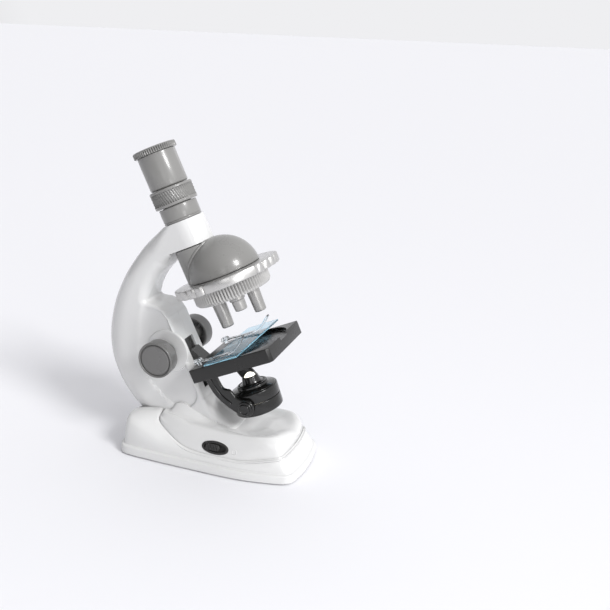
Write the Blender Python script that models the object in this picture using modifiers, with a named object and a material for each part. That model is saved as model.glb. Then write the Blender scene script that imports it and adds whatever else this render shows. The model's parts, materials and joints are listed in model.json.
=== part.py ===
"""A kids microscope: foot, deck, clamshell arm, geared stage, tilting lamp, rotating turret, zoom eyepiece.

Metres, +Z up, +X towards the front of the foot, floor at z = 0. Lengths below are in millimetres.
The optics lie in a tilted frame: s runs forward, h runs up the optical axis, and (0, 0) is where that
axis meets the top of the stage. Profile points of the stand are (x, z) with x from that same point.
"""

import math

import bmesh
import bpy
from mathutils import Matrix, Vector

MM = 0.001
AXIS_X = 20.6
STAGE_Z = 82.04
TILT_DEG = 25.0
GAP = 0.3
DETAIL = 0.72  # share of the nominal facets round each turned piece

ARM_HALF = 14.0
ARM_WALL = 2.0
COLLAR_R = 14.0
COLLAR_TOP = 94.5
COLLAR_BOTTOM = 76.8
COLLAR_BORE = 11.9
FRONT_FACE_S = -33.5

TUBE_R = 13.1
BORE_R = 10.0
RIM_R = 14.75
BARREL_R = 13.05

TURRET_S = 14.3
DISC_R = 36.8
DISC_TOP = 52.4
DISC_BOTTOM = 46.4
DRUM_R = 26.9
DRUM_BOTTOM = 36.3
HEAD_R = 24.4
HEAD_WALL = 2.2
OBJECTIVE_RHO = 14.3

STAGE_REAR = -25.7
STAGE_FRONT = 36.5
STAGE_HALF = 28.2
STAGE_THICK = 9.5
RECESS_S = 10.7
RECESS_R = 26.5
RECESS_DEEP = 2.5
APERTURE_R = 6.5

KNOB_S = -44.9
KNOB_H = 14.3
KNOB_R = 12.8
PINION_R = 6.0
PINION_TEETH = 12

LAMP_S = -1.2
LAMP_H = -38.0
LAMP_R = 17.0
LAMP_LEAN_DEG = 20.0

CLIP_S = -19.5
CLIP_Y = 21.5

FLOOR_GAP = 1.0
FLANGE_TOP = 7.0
SHELL = 2.0

SWITCH_AT = (-3.5, -28.15, 17.3)
SWITCH_LEAN_DEG = 70.5


# ---------------------------------------------------------------- scene helpers

def clear_scene():
    for obj in list(bpy.data.objects):
        bpy.data.objects.remove(obj, do_unlink=True)


def new_collection(name, hidden):
    collection = bpy.data.collections.new(name)
    bpy.context.scene.collection.children.link(collection)
    collection.hide_render = hidden
    return collection


def new_material(name, colour, roughness, metallic=0.0, alpha=1.0):
    mat = bpy.data.materials.new(name)
    mat.use_nodes = True
    shader = mat.node_tree.nodes["Principled BSDF"]
    shader.inputs["Base Color"].default_value = (*colour, 1.0)
    shader.inputs["Roughness"].default_value = roughness
    shader.inputs["Metallic"].default_value = metallic
    shader.inputs["Alpha"].default_value = alpha
    return mat


def new_empty(name, parent, location, rotation=(0.0, 0.0, 0.0)):
    empty = bpy.data.objects.new(name, None)
    empty.empty_display_size = 0.01
    PARTS.objects.link(empty)
    empty.parent = parent
    empty.location = [v * MM for v in location]
    empty.rotation_euler = rotation
    return empty


def place(obj, parent, at, rotation=(0.0, 0.0, 0.0)):
    obj.parent = parent
    obj.location = [v * MM for v in at]
    obj.rotation_euler = rotation
    return obj


def add(name, mesh, mat):
    obj = bpy.data.objects.new(name, mesh)
    if mat is None:
        CUTTERS.objects.link(obj)
        obj.hide_render = True
        obj.display_type = "WIRE"
    else:
        PARTS.objects.link(obj)
        mesh.materials.append(mat)
    return obj


def mesh_from(name, bm):
    mesh = bpy.data.meshes.new(name)
    bmesh.ops.recalc_face_normals(bm, faces=bm.faces[:])
    bm.to_mesh(mesh)
    bm.free()
    return mesh


def box(name, size, mat, bevel=0.0, segments=2):
    """A box centred on its own origin."""
    bm = bmesh.new()
    bmesh.ops.create_cube(bm, size=1.0)
    bmesh.ops.scale(bm, vec=Vector(size) * MM, verts=bm.verts[:])
    obj = add(name, mesh_from(name, bm), mat)
    if bevel:
        round_edges(obj, bevel, segments)
    return obj


def cylinder(name, radius, low, high, mat, segments=32, radius_top=None):
    """A cylinder or cone along its own z, from low to high."""
    segments = max(10, 2 * round(segments * DETAIL / 2))
    bm = bmesh.new()
    top = radius if radius_top is None else radius_top
    bmesh.ops.create_cone(bm, cap_ends=True, segments=segments, radius1=radius * MM,
                          radius2=top * MM, depth=(high - low) * MM)
    bmesh.ops.translate(bm, vec=(0, 0, (high + low) / 2 * MM), verts=bm.verts[:])
    return add(name, mesh_from(name, bm), mat)


def turned(name, profile, mat, segments=32, ring=False):
    """A turned body from (radius, z) points that run down its outer side; ring closes the loop."""
    segments = max(10, 2 * round(segments * DETAIL / 2))
    mesh = bpy.data.meshes.new(name)
    points = [(r * MM, 0.0, z * MM) for r, z in profile]
    edges = [(i, i + 1) for i in range(len(points) - 1)]
    if ring:
        edges.append((len(points) - 1, 0))
    mesh.from_pydata(points, edges, [])
    obj = add(name, mesh, mat)
    turn = obj.modifiers.new("turn", "SCREW")
    turn.axis = "Z"
    turn.angle = math.tau
    turn.steps = segments
    turn.render_steps = segments
    turn.use_merge_vertices = True
    turn.merge_threshold = 0.00002
    turn.use_smooth_shade = False
    return obj


def prism(name, outline, low, high, mat):
    """A flat outline of (a, b) points, raised along its own z from low to high."""
    curve = bpy.data.curves.new(name, "CURVE")
    curve.dimensions = "2D"
    curve.fill_mode = "BOTH"
    curve.extrude = (high - low) / 2 * MM
    spline = curve.splines.new("POLY")
    spline.points.add(len(outline) - 1)
    for point, (a, b) in zip(spline.points, outline):
        point.co = (a * MM, b * MM, 0.0, 1.0)
    spline.use_cyclic_u = True
    guide = bpy.data.objects.new(name + "_guide", curve)
    CUTTERS.objects.link(guide)
    bpy.context.view_layer.update()
    graph = bpy.context.evaluated_depsgraph_get()
    mesh = bpy.data.meshes.new_from_object(guide.evaluated_get(graph))
    bpy.data.objects.remove(guide, do_unlink=True)
    bm = bmesh.new()
    bm.from_mesh(mesh)
    bmesh.ops.remove_doubles(bm, verts=bm.verts[:], dist=0.000001)
    bmesh.ops.dissolve_limit(bm, angle_limit=0.01, verts=bm.verts[:], edges=bm.edges[:])
    bmesh.ops.translate(bm, vec=(0, 0, (high + low) / 2 * MM), verts=bm.verts[:])
    return add(name, mesh_from(name, bm), mat)


def round_edges(obj, width, segments=2, angle=30.0):
    bevel = obj.modifiers.new("round", "BEVEL")
    bevel.width = width * MM
    bevel.segments = segments
    bevel.limit_method = "ANGLE"
    bevel.angle_limit = math.radians(angle)
    return bevel


def boolean(obj, other, operation):
    cut = obj.modifiers.new(operation.lower(), "BOOLEAN")
    cut.operation = operation
    cut.object = other
    cut.solver = "EXACT"
    return cut


def cut(obj, *cutters):
    for cutter in cutters:
        boolean(obj, cutter, "DIFFERENCE")
    return obj


def join(obj, *others):
    for other in others:
        boolean(obj, other, "UNION")
    return obj


def stadium(length, width, steps=8):
    """The outline of a slot with round ends, along its own x."""
    radius = width / 2
    half = length / 2 - radius
    points = []
    for i in range(steps + 1):
        angle = -math.pi / 2 + math.pi * i / steps
        points.append((half + radius * math.cos(angle), radius * math.sin(angle)))
    for i in range(steps + 1):
        angle = math.pi / 2 + math.pi * i / steps
        points.append((-half + radius * math.cos(angle), radius * math.sin(angle)))
    return points


def rectangle(x0, x1, y0, y1):
    return [(x0, y0), (x1, y0), (x1, y1), (x0, y1)]


def world(x, z):
    """Stand coordinates to object coordinates."""
    return (x + AXIS_X, z)


def tilted(s, h):
    """Tilted (s, h) to stand coordinates (x, z)."""
    angle = math.radians(TILT_DEG)
    x = s * math.cos(angle) - h * math.sin(angle)
    z = s * math.sin(angle) + h * math.cos(angle) + STAGE_Z
    return (x, z)


# ---------------------------------------------------------------- arm

def arm_points():
    """Side outline of the arm and housing: (x, z, reach and depth of the edge rounding, inward or None)."""
    angle = math.radians(TILT_DEG)
    forward = (math.cos(angle), math.sin(angle))
    backward = (-forward[0], -forward[1])
    points = [
        (-57.5, 9.6, 8.0, 8.0, None),
        (-61.8, 15.4, 13.0, 10.5, None),
        (-69.3, 22.0, 14.0, 10.5, None),
        (-78.8, 30.6, 15.0, 10.5, None),
        (-87.2, 41.6, 15.5, 10.5, None),
        (-93.2, 54.0, 16.0, 10.5, None),
        (-96.5, 67.2, 16.0, 10.5, None),
        (-96.7, 82.4, 16.0, 10.5, None),
        (-93.9, 97.8, 15.0, 10.5, None),
        (-89.4, 111.2, 13.5, 10.5, None),
        (-82.4, 125.6, 12.0, 10.5, None),
        (-73.5, 139.2, 11.5, 11.0, None),
        (-63.0, 152.0, 11.5, 11.5, None),
    ]
    for s, h, inward in ((-COLLAR_R, COLLAR_TOP, forward), (COLLAR_R, COLLAR_TOP, backward),
                         (COLLAR_R, COLLAR_BOTTOM, backward), (-COLLAR_R, COLLAR_BOTTOM, forward)):
        x, z = tilted(s, h)
        points.append((x, z, 13.0, 13.0, inward))
    points += [
        (-47.6, 137.7, 8.5, 9.5, None),
        (-54.6, 129.2, 8.0, 9.0, None),
        (-59.8, 120.8, 7.5, 8.0, None),
        (-63.4, 112.0, 6.0, 6.0, None),
        (-63.6, 109.4, 4.5, 4.5, None),
        (-61.2, 108.3, 3.5, 3.5, None),
        (-55.6, 107.8, 2.6, 2.6, None),
        (-50.0, 105.4, 2.6, 2.6, None),
        (-46.2, 101.2, 2.6, 2.6, None),
    ]
    for s, h in ((FRONT_FACE_S, 31.0), (FRONT_FACE_S, -27.0)):
        x, z = tilted(s, h)
        points.append((x, z, 2.6, 2.6, None))
    points += [(-15.6, 34.0, 2.6, 2.6, None), (-15.2, 12.0, 2.6, 2.6, None),
               (-18.0, 9.6, 2.0, 2.0, None)]
    return points


def inward_of(points, i, sign):
    """Unit direction into the material at outline point i."""
    if points[i][4] is not None:
        return Vector(points[i][4])
    before = Vector(points[i - 1][:2])
    here = Vector(points[i][:2])
    after = Vector(points[(i + 1) % len(points)][:2])
    along = (here - before).normalized() + (after - here).normalized()
    return Vector((-along.y, along.x)).normalized() * sign


def arm_section(grow=0.0):
    """Outline points with their rounding and inward directions, refined along the curved stretches."""
    points = arm_points()
    directions = [inward_of(points, i, -1.0) for i in range(len(points))]
    refined = []
    count = len(points)
    for i in range(count):
        x, z, reach, depth, _ = points[i]
        refined.append((Vector((x, z)), reach, depth, directions[i]))
        j = (i + 1) % count
        smooth = 1 <= i <= 11 or 17 <= i <= 19
        if not smooth:
            continue
        p0, p1 = Vector(points[i - 1][:2]), Vector(points[i][:2])
        p2, p3 = Vector(points[j][:2]), Vector(points[(j + 1) % count][:2])
        middle = (p1 + p2) * 0.5625 - (p0 + p3) * 0.0625
        direction = (directions[i] + directions[j]).normalized()
        refined.append((middle, (reach + points[j][2]) / 2, (depth + points[j][3]) / 2, direction))
    return [(p - d * grow, reach + grow, depth + grow, d) for p, reach, depth, d in refined]


def arm_skin(name, side, near, half_width, mat, grow=0.0, closed=False):
    """Half of the arm's skin from the split plane out to its side, as rings that round the edge."""
    section = arm_section(grow)
    bm = bmesh.new()
    rings = []
    steps = (0.0, 30.0, 60.0, 90.0)
    for k in range(len(steps) + 1):
        ring = []
        for point, reach, depth, direction in section:
            depth = min(depth, half_width - near - 0.05)
            if k == 0:
                inset, y = 0.0, near
            else:
                angle = math.radians(steps[k - 1])
                inset = reach * (1.0 - math.cos(angle))
                y = half_width - depth + depth * math.sin(angle)
            spot = point + direction * inset
            ring.append(bm.verts.new(((spot.x + AXIS_X) * MM, side * y * MM, spot.y * MM)))
        rings.append(ring)
    count = len(section)
    for a, b in zip(rings, rings[1:]):
        for i in range(count):
            j = (i + 1) % count
            bm.faces.new((a[i], a[j], b[j], b[i]))
    bm.faces.new(rings[-1])
    if closed:
        bm.faces.new(rings[0])
    bmesh.ops.recalc_face_normals(bm, faces=bm.faces[:])
    mesh = bpy.data.meshes.new(name)
    bm.to_mesh(mesh)
    bm.free()
    return add(name, mesh, mat)


def boss_places():
    """Screw bosses inside the arm: (x, z, distance of the boss end from the split plane)."""
    return ((-70.5, 126.0, 12.6), (-85.5, 76.0, 12.3), (-62.0, 44.0, 13.0))


def make_arm():
    for side, name in ((-1, "arm_left_shell"), (1, "arm_right_shell")):
        half = arm_skin(name, side, 0.15, ARM_HALF, WHITE)
        shell = half.modifiers.new("wall", "SOLIDIFY")
        shell.thickness = ARM_WALL * MM
        shell.offset = -1.0
        shell.use_even_offset = False
        turn = (-side * math.pi / 2, 0.0, 0.0)
        for k, (x, z, end) in enumerate(boss_places()):
            boss = cylinder(f"{name}_boss_{k}", 3.2, 0.15, end, None, 12)
            place(boss, None, (x + AXIS_X, 0.0, z), turn)
            join(half, boss)
        for k, (x, z, end) in enumerate(boss_places()):
            if side > 0:
                hole = turned(f"{name}_hole_{k}", [(0, 20), (2.8, 20), (2.8, 9.7), (1.5, 9.7),
                                                   (1.5, -1), (0, -1)], None, 12)
            else:
                hole = cylinder(f"{name}_hole_{k}", 1.3, -1.0, 9.0, None, 12)
            place(hole, None, (x + AXIS_X, 0.0, z), turn)
            cut(half, hole)
        bore = cylinder(name + "_bore", COLLAR_BORE, 72.0, 100.0, None, 28)
        place(bore, TILTED, (0, 0, 0))
        x, z = tilted(KNOB_S, KNOB_H)
        shaft_hole = cylinder(name + "_shaft_hole", 3.2, 2.0, 20.0, None, 20)
        place(shaft_hole, None, (x + AXIS_X, 0.0, z), turn)
        slot = box(name + "_slot", (12.0, 11.5, 37.5), None)
        place(slot, TILTED, (FRONT_FACE_S, 0.0, 17.5 - 18.75))
        trim = box(name + "_trim", (36.0, 40.0, 16.0), None)
        place(trim, TILTED, (5.0, 0.0, COLLAR_BOTTOM - 8.0))
        cut(half, bore, trim, shaft_hole, slot)
    for k, (x, z, end) in enumerate(boss_places()):
        screw = turned(f"arm_screw_{k + 1}", [(0, 11.6), (1.6, 11.6), (2.4, 10.9), (2.4, 10.0),
                                              (1.1, 10.0), (1.1, -8.0), (0, -8.6)], STEEL, 12)
        place(screw, None, (x + AXIS_X, 0.0, z), (-math.pi / 2, 0.0, 0.0))
    left = arm_skin("arm_clear_left", -1, 0.0, ARM_HALF + 0.4, None, 0.4, True)
    right = arm_skin("arm_clear_right", 1, 0.0, ARM_HALF + 0.4, None, 0.4, True)
    return left, right


# ---------------------------------------------------------------- foot and deck

def foot_stations():
    """Half of the foot, rear centre to front centre: flange edge, shoulder and top lip."""
    return [
        ((-79.0, 0.0), (-75.5, 0.0, 21.5), (-72.6, 0.0, 22.4)),
        ((-79.0, 12.0), (-75.4, 11.0, 23.0), (-72.6, 9.5, 24.6)),
        ((-78.6, 23.0), (-74.8, 21.0, 24.0), (-71.2, 14.7, 27.6)),
        ((-77.2, 29.6), (-73.2, 27.2, 24.0), (-68.4, 14.7, 29.0)),
        ((-73.4, 33.9), (-70.0, 30.6, 23.6), (-64.4, 14.7, 30.0)),
        ((-65.0, 35.3), (-63.0, 32.0, 22.0), (-57.6, 14.7, 31.0)),
        ((-57.0, 35.6), (-56.2, 32.3, 19.6), (-51.2, 14.7, 31.2)),
        ((-50.0, 35.8), (-49.6, 32.4, 17.0), (-50.2, 22.0, 26.0)),
        ((-40.0, 36.0), (-40.0, 32.5, 12.8), (-40.5, 26.4, 20.0)),
        ((-28.0, 36.0), (-28.0, 33.0, 9.9), (-28.0, 29.4, 14.2)),
        ((-14.0, 36.0), (-14.0, 33.3, 8.8), (-14.0, 30.3, 12.2)),
        ((2.0, 36.0), (2.0, 33.3, 8.7), (2.0, 30.2, 12.0)),
        ((17.0, 35.3), (16.8, 32.6, 8.8), (16.5, 29.6, 12.4)),
        ((31.0, 33.2), (30.2, 30.6, 9.1), (29.0, 27.5, 14.8)),
        ((42.0, 30.8), (40.5, 28.2, 9.4), (37.5, 25.6, 16.6)),
        ((48.8, 28.4), (46.4, 26.0, 9.6), (42.0, 23.5, 17.4)),
        ((52.4, 24.2), (49.6, 22.0, 9.6), (43.9, 19.4, 17.8)),
        ((54.3, 16.0), (51.4, 14.5, 9.6), (45.0, 13.0, 18.0)),
        ((55.2, 8.0), (52.3, 7.2, 9.6), (45.6, 6.5, 18.0)),
        ((55.5, 0.0), (52.5, 0.0, 9.6), (45.8, 0.0, 18.0)),
    ]


def inset_outline(outline, distance):
    """The closed outline moved inward along its averaged normals; it runs anticlockwise."""
    moved = []
    count = len(outline)
    for i in range(count):
        before = Vector(outline[i - 1])
        here = Vector(outline[i])
        after = Vector(outline[(i + 1) % count])
        along = (here - before).normalized() + (after - here).normalized()
        normal = Vector((-along.y, along.x)).normalized()
        spot = here + normal * distance
        moved.append((spot.x, spot.y))
    return moved


def full_loop(half):
    """Half stations from rear to front on +y, completed on -y and returned anticlockwise."""
    mirrored = [tuple((p[0], -p[1], *p[2:]) for p in station) for station in half]
    loop = mirrored + list(reversed(half[1:-1]))
    return loop


def strip_mesh(name, rings, cap, mat):
    bm = bmesh.new()
    rows = []
    for ring in rings:
        rows.append([bm.verts.new(((x + AXIS_X) * MM, y * MM, z * MM)) for x, y, z in ring])
    count = len(rows[0])
    for a, b in zip(rows, rows[1:]):
        for i in range(count):
            j = (i + 1) % count
            bm.faces.new((a[i], a[j], b[j], b[i]))
    if cap:
        middle = count // 2
        last = rows[-1]
        for i in range(middle):
            corners = [last[i], last[i + 1], last[-(i + 1) % count], last[-i % count]]
            unique = list(dict.fromkeys(corners))
            if len(unique) > 2:
                bm.faces.new(unique)
    bmesh.ops.remove_doubles(bm, verts=bm.verts[:], dist=0.000001)
    bmesh.ops.recalc_face_normals(bm, faces=bm.faces[:])
    mesh = bpy.data.meshes.new(name)
    bm.to_mesh(mesh)
    bm.free()
    return add(name, mesh, mat)


def make_foot(arm_clear):
    loop = full_loop(foot_stations())
    edge = [station[0] for station in loop]
    rings = [[(x, y, FLOOR_GAP) for x, y in edge]]
    for inset, z in ((0.2, FLANGE_TOP - 1.2), (0.9, FLANGE_TOP - 0.2), (2.2, FLANGE_TOP + 0.3)):
        rings.append([(x, y, z) for x, y in inset_outline(edge, inset)])
    shoulder = [station[1] for station in loop]
    lip = [station[2] for station in loop]
    crest = []
    for a, b in zip(shoulder, lip):
        rise = 1.6 if a[0] < -45 else 0.5
        crest.append((a[0] * 0.45 + b[0] * 0.55, a[1] * 0.45 + b[1] * 0.55,
                      a[2] * 0.45 + b[2] * 0.55 + rise))
    rings += [shoulder, crest, lip]
    foot = strip_mesh("foot_shell", rings, False, WHITE)
    shell = foot.modifiers.new("wall", "SOLIDIFY")
    shell.thickness = SHELL * MM
    shell.offset = -1.0
    shell.use_even_offset = False
    cut(foot, *arm_clear)

    plate_edge = [world(x, y) for x, y in inset_outline(edge, 3.0)]
    plate = prism("foot_plate", plate_edge, FLOOR_GAP, FLOOR_GAP + 2.0, GREY_DARK)
    frame = prism("tray_walls", rectangle(AXIS_X - 13.0, AXIS_X + 45.6, -18.5, 18.5), 2.0, 10.5, None)
    pocket = prism("tray_pocket", rectangle(AXIS_X - 11.0, AXIS_X + 44.0, -16.5, 16.5), 0.0, 20.0, None)
    join(plate, frame)
    cut(plate, pocket)
    for k, (x, y) in enumerate(foot_screw_places()):
        hole = cylinder(f"plate_hole_{k}", 1.6, -1.0, 8.0, None, 12)
        place(hole, None, (x + AXIS_X, y, 0.0))
        cut(plate, hole)
    door = box("battery_door", (54.2, 32.4, 1.6), GREY_DARK, 0.3, 1)
    place(door, None, (AXIS_X + 16.5, 0.0, FLOOR_GAP + 0.9))
    door_hole = cylinder("door_hole", 1.6, -3.0, 3.0, None, 12)
    place(door_hole, None, (AXIS_X + 39.5, 0.0, FLOOR_GAP + 0.9))
    cut(door, door_hole)
    screw = turned("battery_door_screw", [(0, 6.0), (1.2, 5.4), (1.2, 0.9), (2.4, 0.9), (2.4, 0.2),
                                          (1.8, -0.2), (0, -0.2)], STEEL, 12)
    place(screw, None, (AXIS_X + 39.5, 0.0, 0.6))
    door_head = cylinder("door_head_hole", 2.7, -3.0, 0.9, None, 12)
    place(door_head, None, (AXIS_X + 39.5, 0.0, FLOOR_GAP + 0.9 - 0.3))
    cut(door, door_head)
    for k, (x, y) in enumerate(foot_screw_places()):
        post = turned(f"foot_screw_{k + 1}", [(0, 8.0), (1.2, 7.5), (1.2, 0.7), (2.4, 0.7),
                                              (2.4, 0.2), (1.8, -0.2), (0, -0.2)], STEEL, 12)
        place(post, None, (x + AXIS_X, y, 0.25))
    for k, (x, y) in enumerate(((-66.0, 26.0), (-66.0, -26.0), (44.0, 20.0), (44.0, -20.0),
                                 (-AXIS_X, 0.0))):
        pad = turned(f"foot_pad_{k + 1}", [(0, FLOOR_GAP - 0.05), (4.6, FLOOR_GAP - 0.05),
                                           (5.0, 0.3), (4.7, 0.0), (0, 0.0)], RUBBER, 14)
        place(pad, None, (x + AXIS_X, y, 0.0))


def foot_screw_places():
    return ((-50.0, 22.0), (-50.0, -22.0))


def make_batteries():
    for k, y in enumerate((-7.9, 7.9)):
        flip = 1 if k else -1
        cell = turned("battery_" + "ab"[k], [(0, 25.2), (2.7, 25.2), (2.7, 23.8), (6.9, 23.8),
                                             (7.1, 23.2), (7.1, -23.0), (6.6, -23.8), (0, -23.8)],
                      BATTERY, 16)
        place(cell, None, (AXIS_X + 16.5 + flip * -0.7, y, 11.0), (0.0, flip * math.pi / 2, 0.0))
    for name, x in (("contact_front", 43.3), ("contact_rear", -10.3)):
        plate = box(name, (0.6, 29.0, 10.5), STEEL)
        place(plate, None, (AXIS_X + x, 0.0, 10.0))


def deck_stations():
    """Half of the deck: seam, wall ridge, top edge and inner rim, rear centre to front centre."""
    return [
        ((-50.0, 0.0, 27.4), (-49.9, 0.0, 29.0), (-49.3, 0.0, 31.0), (-41.0, 0.0, 34.0)),
        ((-50.0, 14.0, 27.2), (-49.9, 13.5, 29.4), (-49.2, 13.0, 31.6), (-41.0, 10.0, 35.5)),
        ((-49.9, 21.8, 26.6), (-49.4, 20.4, 28.8), (-48.0, 18.6, 31.0), (-41.0, 14.2, 37.0)),
        ((-40.3, 26.2, 20.5), (-39.8, 24.0, 26.6), (-39.0, 20.8, 30.6), (-35.5, 14.2, 38.4)),
        ((-28.0, 29.2, 14.7), (-28.0, 25.5, 25.2), (-28.0, 22.6, 28.8), (-27.0, 14.2, 35.0)),
        ((-14.0, 30.1, 12.7), (-14.0, 25.5, 25.0), (-14.0, 22.9, 28.0), (-14.0, 14.2, 30.0)),
        ((2.0, 30.0, 12.5), (2.0, 25.5, 25.0), (2.0, 22.9, 27.8), (-1.0, 14.0, 26.6)),
        ((16.5, 29.4, 12.9), (15.4, 25.2, 25.0), (14.8, 22.8, 28.0), (9.0, 13.5, 25.4)),
        ((28.8, 27.3, 15.3), (26.6, 24.4, 26.2), (25.0, 22.2, 29.0), (15.5, 12.0, 24.9)),
        ((37.3, 25.4, 17.1), (34.4, 22.6, 27.2), (32.0, 20.4, 29.6), (20.0, 10.0, 24.7)),
        ((41.7, 23.3, 17.9), (39.4, 19.4, 27.8), (36.2, 17.2, 30.0), (23.4, 7.8, 24.6)),
        ((43.6, 19.2, 18.3), (42.4, 15.0, 28.0), (38.8, 13.0, 30.0), (25.8, 5.4, 24.5)),
        ((44.7, 12.9, 18.5), (44.9, 10.0, 27.8), (41.2, 8.6, 29.8), (27.6, 3.4, 24.5)),
        ((45.3, 6.4, 18.5), (46.4, 5.0, 26.8), (42.8, 4.3, 28.8), (28.6, 1.6, 24.5)),
        ((45.5, 0.0, 18.5), (46.9, 0.0, 25.8), (43.4, 0.0, 28.0), (29.0, 0.0, 24.5)),
    ]


def make_deck(arm_clear):
    loop = full_loop(deck_stations())
    rings = [[station[k] for station in loop] for k in range(4)]
    crown = []
    for a, b in zip(rings[2], rings[3]):
        crown.append((a[0] * 0.5 + b[0] * 0.5, a[1] * 0.5 + b[1] * 0.5, min(a[2], b[2]) + 0.6))
    rings.insert(3, crown)
    deck = strip_mesh("deck_shell", rings, True, WHITE)
    shell = deck.modifiers.new("wall", "SOLIDIFY")
    shell.thickness = SHELL * MM
    shell.offset = -1.0
    shell.use_even_offset = False
    cut(deck, *arm_clear)
    hole = prism("switch_hole", stadium(20.4, 9.0), -9.0, 4.0, None)
    place(hole, SWITCH, (0, 0, 0))
    cut(deck, hole)


def make_switch():
    body = prism("switch_body", stadium(19.8, 8.4), -5.0, 0.9, GREY_SWITCH)
    place(body, SWITCH, (0, 0, 0))
    slot = prism("switch_slot", stadium(15.4, 5.2), -1.6, 3.0, None)
    place(slot, SWITCH, (0, 0, 0))
    cut(body, slot)
    knob = prism("switch_knob", stadium(10.6, 4.6), -1.3, 1.4, GREY_SWITCH)
    place(knob, SWITCH, (-2.1, 0, 0))
    for k in range(4):
        groove = box(f"switch_groove_{k}", (0.7, 8.0, 1.0), None)
        place(groove, SWITCH, (-4.9 + 1.9 * k, 0, 1.5))
        cut(knob, groove)


# ---------------------------------------------------------------- focus and stage

def gear_outline(teeth, pitch, add_r, root_r, half_deg_root, half_deg_tip):
    points = []
    for k in range(teeth):
        middle = math.tau * k / teeth
        for radius, offset in ((root_r, -half_deg_root), (add_r, -half_deg_tip),
                               (add_r, half_deg_tip), (root_r, half_deg_root)):
            angle = middle + math.radians(offset)
            points.append((radius * math.cos(angle), radius * math.sin(angle)))
    return points


def make_focus():
    for side, name in ((-1, "knob_left"), (1, "knob_right")):
        turn = (-side * math.pi / 2, 0.0, 0.0)
        knob = turned(name, [(0.0, 32.0), (KNOB_R - 1.6, 32.0), (KNOB_R - 0.5, 31.6), (KNOB_R, 30.6),
                             (KNOB_R - 0.5, 22.6), (KNOB_R - 2.0, 22.6), (KNOB_R - 2.2, 29.6),
                             (6.2, 29.6), (5.8, 14.6), (2.6, 14.6), (2.6, 26.4), (0.0, 26.4)],
                      GREY_KNOB, 28)
        place(knob, FOCUS, (0, 0, 0), turn)
        for k in range(3):
            rib = box(f"{name}_rib_{k}", (7.0, 1.2, 5.0), None)
            angle = math.tau * k / 3 + 0.5
            place(rib, FOCUS, (8.2 * math.cos(angle), side * 27.6, 8.2 * math.sin(angle)),
                  (0.0, -angle, 0.0))
            rib.data.transform(Matrix.Rotation(math.pi / 2, 4, "X"))
            join(knob, rib)
    shaft = cylinder("focus_shaft", 2.5, -26.0, 26.0, STEEL, 20)
    place(shaft, FOCUS, (0, 0, 0), (math.pi / 2, 0.0, 0.0))
    outline = gear_outline(PINION_TEETH, PINION_R, PINION_R + 0.8, PINION_R - 1.2, 8.6, 3.4)
    pinion = prism("focus_pinion", outline, -4.5, 4.5, BLACK_MATT)
    place(pinion, FOCUS, (0, 0, 0), (math.pi / 2, 0.0, 0.0))
    hole = cylinder("pinion_hole", 2.55, -6.0, 6.0, None, 20)
    place(hole, FOCUS, (0, 0, 0), (math.pi / 2, 0.0, 0.0))
    cut(pinion, hole)

    pitch = math.tau * PINION_R / PINION_TEETH
    line = KNOB_S + PINION_R
    outline = [(line + 2.7, KNOB_H + 2.5 * pitch), (line + 2.7, KNOB_H - 7.5 * pitch)]
    for k in range(-7, 3):
        middle = KNOB_H + (k - 0.5) * pitch
        for s, offset in ((line + 1.2, -0.98), (line - 0.7, -0.32), (line - 0.7, 0.32),
                          (line + 1.2, 0.98)):
            outline.append((s, middle + offset))
    outline.insert(2, (line + 1.2, KNOB_H - 7.5 * pitch - 1.2))
    outline[1] = (line + 2.7, KNOB_H - 7.5 * pitch - 1.2)
    outline.append((line + 1.2, KNOB_H + 2.5 * pitch))
    rack = prism("focus_rack", [(s, h) for s, h in outline], -4.0, 4.0, BLACK_MATT)
    place(rack, TILTED, (0, 0, 0), (math.pi / 2, 0.0, 0.0))

    back = line + 3.0
    profile = [(back, 9.0), (FRONT_FACE_S + 1.6, 9.0), (STAGE_REAR - GAP, -0.6),
               (STAGE_REAR - GAP, -9.2), (FRONT_FACE_S + 1.5, -15.0), (back, -15.0)]
    carriage = prism("stage_carriage", profile, -5.4, 5.4, BLACK)
    place(carriage, TILTED, (0, 0, 0), (math.pi / 2, 0.0, 0.0))


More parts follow.
